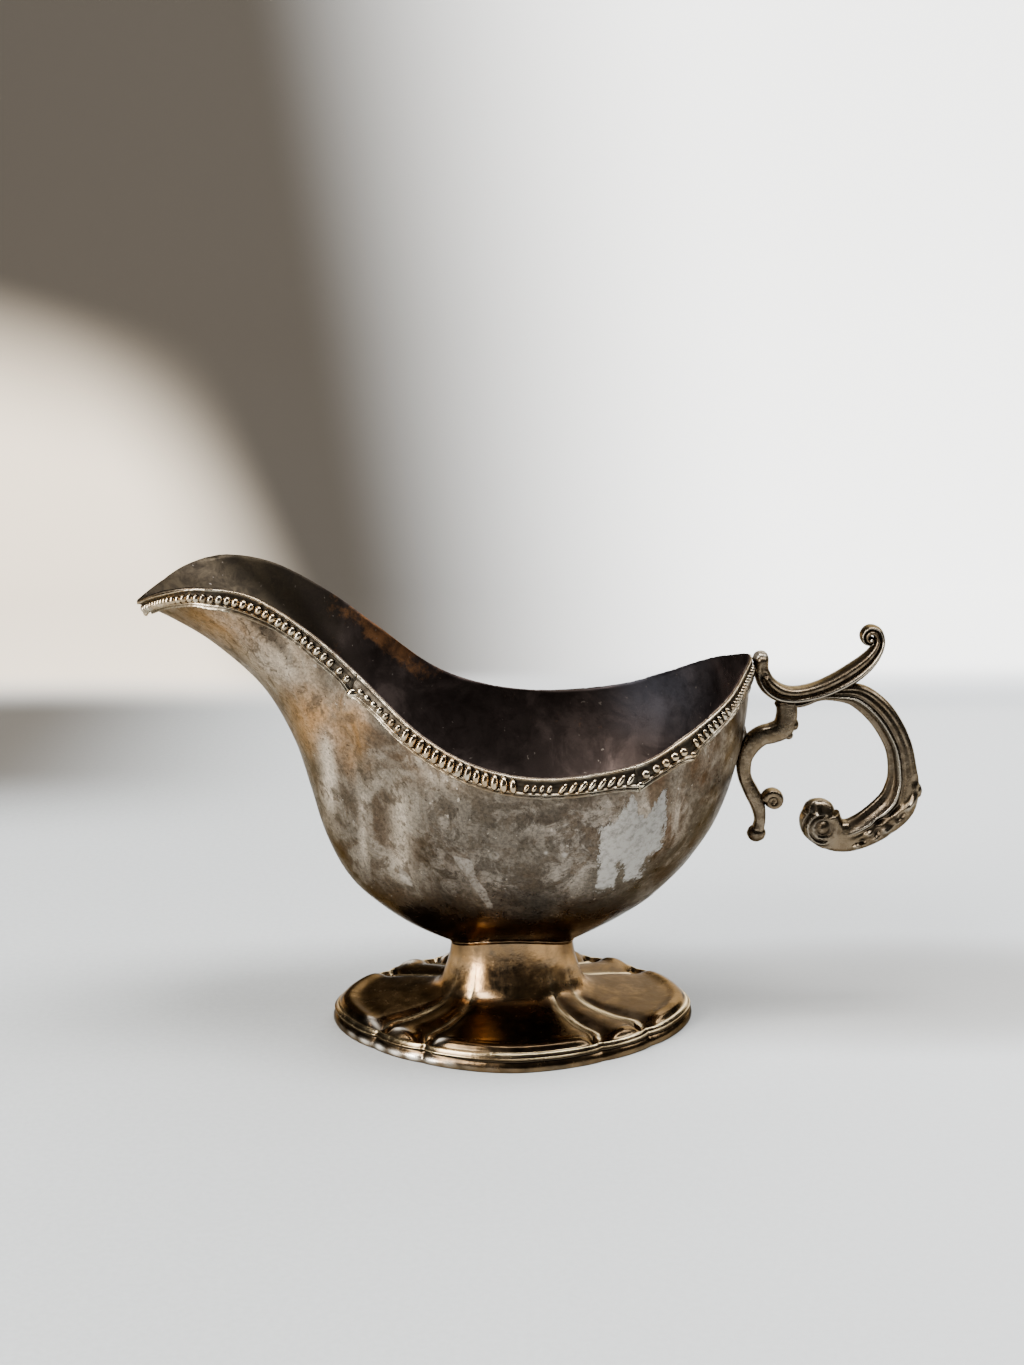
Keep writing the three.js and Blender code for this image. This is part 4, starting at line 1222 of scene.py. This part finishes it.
def paper_finish():
    """Pale paper with painted soft shades: on the backdrop round a painted lit patch, on the far left of the table, to
    the right of the foot and along the horizon; the table is painted darker to the left, and the backdrop glows with
    its own colour.
    """
    f = Finish("pale_paper")
    parts = f.node("SeparateXYZ", Vector=f.here)
    x, y, z = parts.outputs
    depth = SHADES_AT - CAMERA_AT[1]
    nearer = f.math("DIVIDE", depth, f.larger(f.minus(y, CAMERA_AT[1]), depth))
    x = f.times(x, nearer)
    z = f.plus(f.times(f.minus(z, CAMERA_AT[2]), nearer), CAMERA_AT[2])
    grain = f.noise(1.6, 4, 0.6)
    behind = f.step(y, 0.33, 0.41)
    # painted light: the table darker to the left, lighter to the right
    f.base = f.mix(f.step(x, -0.1, 0.14), (0.49, 0.51, 0.515), (0.63, 0.65, 0.66))
    f.coat((0.8, 0.82, 0.83), f.step(grain, 0.3, 0.7, 0.0, 0.12))
    f.coat((0.93, 0.93, 0.915), behind)
    slant = f.plus(x, f.times(z, 0.4))
    climb = f.plus(z, f.times(x, 0.3))
    drift = f.plus(x, f.times(z, 0.15))
    # painted shade on the backdrop, cleared round a painted lit patch low on the left
    clear = f.times(f.step(slant, -0.137, -0.066, 1.0, 0.0), f.step(climb, 0.03, 0.108, 1.0, 0.0))
    f.coat(f.mix(clear, (0.036, 0.031, 0.025), (0.72, 0.62, 0.49)), f.step(drift, -0.068, 0.127, 1.0, 0.0), behind)
    f.coat((0.085, 0.074, 0.06), f.step(x, -0.2, -0.06, 1.0, 0.0), f.step(y, 0.15, 0.25), f.minus(1.0, behind), 0.95)
    reach = f.plus(f.math("POWER", f.times(f.minus(x, 0.098), 9.5), 2.0),
                   f.math("POWER", f.times(f.minus(y, 0.014), 21.0), 2.0))
    f.coat((0.20, 0.185, 0.165), f.step(reach, 0.0, 1.1, 0.6, 0.0), f.step(z, 0.0, 0.01, 1.0, 0.0))
    # painted shade: a soft bluish band along the horizon
    f.coat((0.30, 0.33, 0.37), f.step(y, 0.31, 0.36), f.step(y, 0.37, 0.42, 1.0, 0.0), f.step(x, -0.08, 0.1, 0.0, 0.4))
    # the backdrop glows with its painted colour, as painted light
    return f.set(Base_Color=f.base, Emission_Color=f.base, Emission_Strength=f.times(behind, 1.6), Roughness=0.85,
                 Specular_IOR_Level=0.1, Normal=f.bump(grain, 0.15, 0.25))


def table_and_backdrop():
    start_fresh()
    bpy.ops.mesh.primitive_grid_add(x_subdivisions=2, y_subdivisions=2, size=1)
    floor = bpy.context.object
    floor.name = "table_and_backdrop"
    backdrop_mesh(floor.data)
    floor.data.materials.append(paper_finish())


def area_light(name, at, aim, size, power, tint=(1, 1, 1)):
    data = bpy.data.lights.new(name, "AREA")
    data.shape = "RECTANGLE"
    data.size, data.size_y = size
    data.energy = power
    data.color = tint
    lamp = bpy.data.objects.new(name, data)
    bpy.context.collection.objects.link(lamp)
    lamp.location = at
    lamp.rotation_euler = (Vector(aim) - Vector(at)).to_track_quat("-Z", "Y").to_euler()
    return lamp


def lights():
    world = bpy.data.worlds.new("room")
    world.use_nodes = True
    background = world.node_tree.nodes["Background"]
    background.inputs[0].default_value = (0.62, 0.60, 0.58, 1)
    background.inputs[1].default_value = 0.07
    bpy.context.scene.world = world
    power = settings().window
    area_light("window", (-0.62, -0.5, 0.62), (0, 0, 0.05), (0.35, 0.45), power, (1.0, 0.97, 0.93))
    area_light("back_window", (0.7, 0.15, 0.75), (0, 0.05, 0.05), (0.5, 0.5), 0.6 * power, (0.96, 0.98, 1.0))
    area_light("wall_wash", (0.2, -0.1, 1.15), (0.12, 0.45, 0.25), (0.8, 0.4), 1.9 * power)
    area_light("low_window", (-0.52, -0.34, 0.12), (0, 0, 0.04), (0.14, 0.22), 0.35 * power, (1.0, 0.97, 0.92))


def camera():
    data = bpy.data.cameras.new("camera")
    data.lens = 60
    data.sensor_width = 36
    data.clip_start = 0.01
    view = bpy.data.objects.new("camera", data)
    bpy.context.collection.objects.link(view)
    view.matrix_world = (Matrix.Translation(CAMERA_AT)
                         @ Matrix.Rotation(math.radians(77.27), 4, "X") @ Matrix.Rotation(math.radians(-0.532), 4, "Z"))
    bpy.context.scene.camera = view


class SAUCEBOAT_PT_panel(bpy.types.Panel):
    """The pieces of the sauce boat, their sizes and their colours"""
    bl_label = "Sauce Boat"
    bl_idname = "SAUCEBOAT_PT_panel"
    bl_space_type = "VIEW_3D"
    bl_region_type = "UI"
    bl_category = "Sauce Boat"

    def draw(self, context):
        layout = self.layout
        for name in SauceBoatSettings.__annotations__:
            layout.prop(context.scene.sauce_boat, name)
        for operator in OPERATORS:
            layout.operator(operator.bl_idname)


OPERATORS = (SAUCEBOAT_OT_bowl, SAUCEBOAT_OT_border, SAUCEBOAT_OT_foot, SAUCEBOAT_OT_handle, SAUCEBOAT_OT_solder,
             SAUCEBOAT_OT_stage)
CLASSES = (SauceBoatSettings,) + OPERATORS + (SAUCEBOAT_PT_panel,)


def register():
    for cls in CLASSES:
        bpy.utils.register_class(cls)
    bpy.types.Scene.sauce_boat = bpy.props.PointerProperty(type=SauceBoatSettings)


def unregister():
    del bpy.types.Scene.sauce_boat
    for cls in reversed(CLASSES):
        bpy.utils.unregister_class(cls)


def main():
    register()
    bpy.ops.sauceboat.bowl()
    bpy.ops.sauceboat.border()
    bpy.ops.sauceboat.foot()
    bpy.ops.sauceboat.handle()
    bpy.ops.sauceboat.solder()
    bpy.ops.sauceboat.stage()


if __name__ == "__main__":
    main()
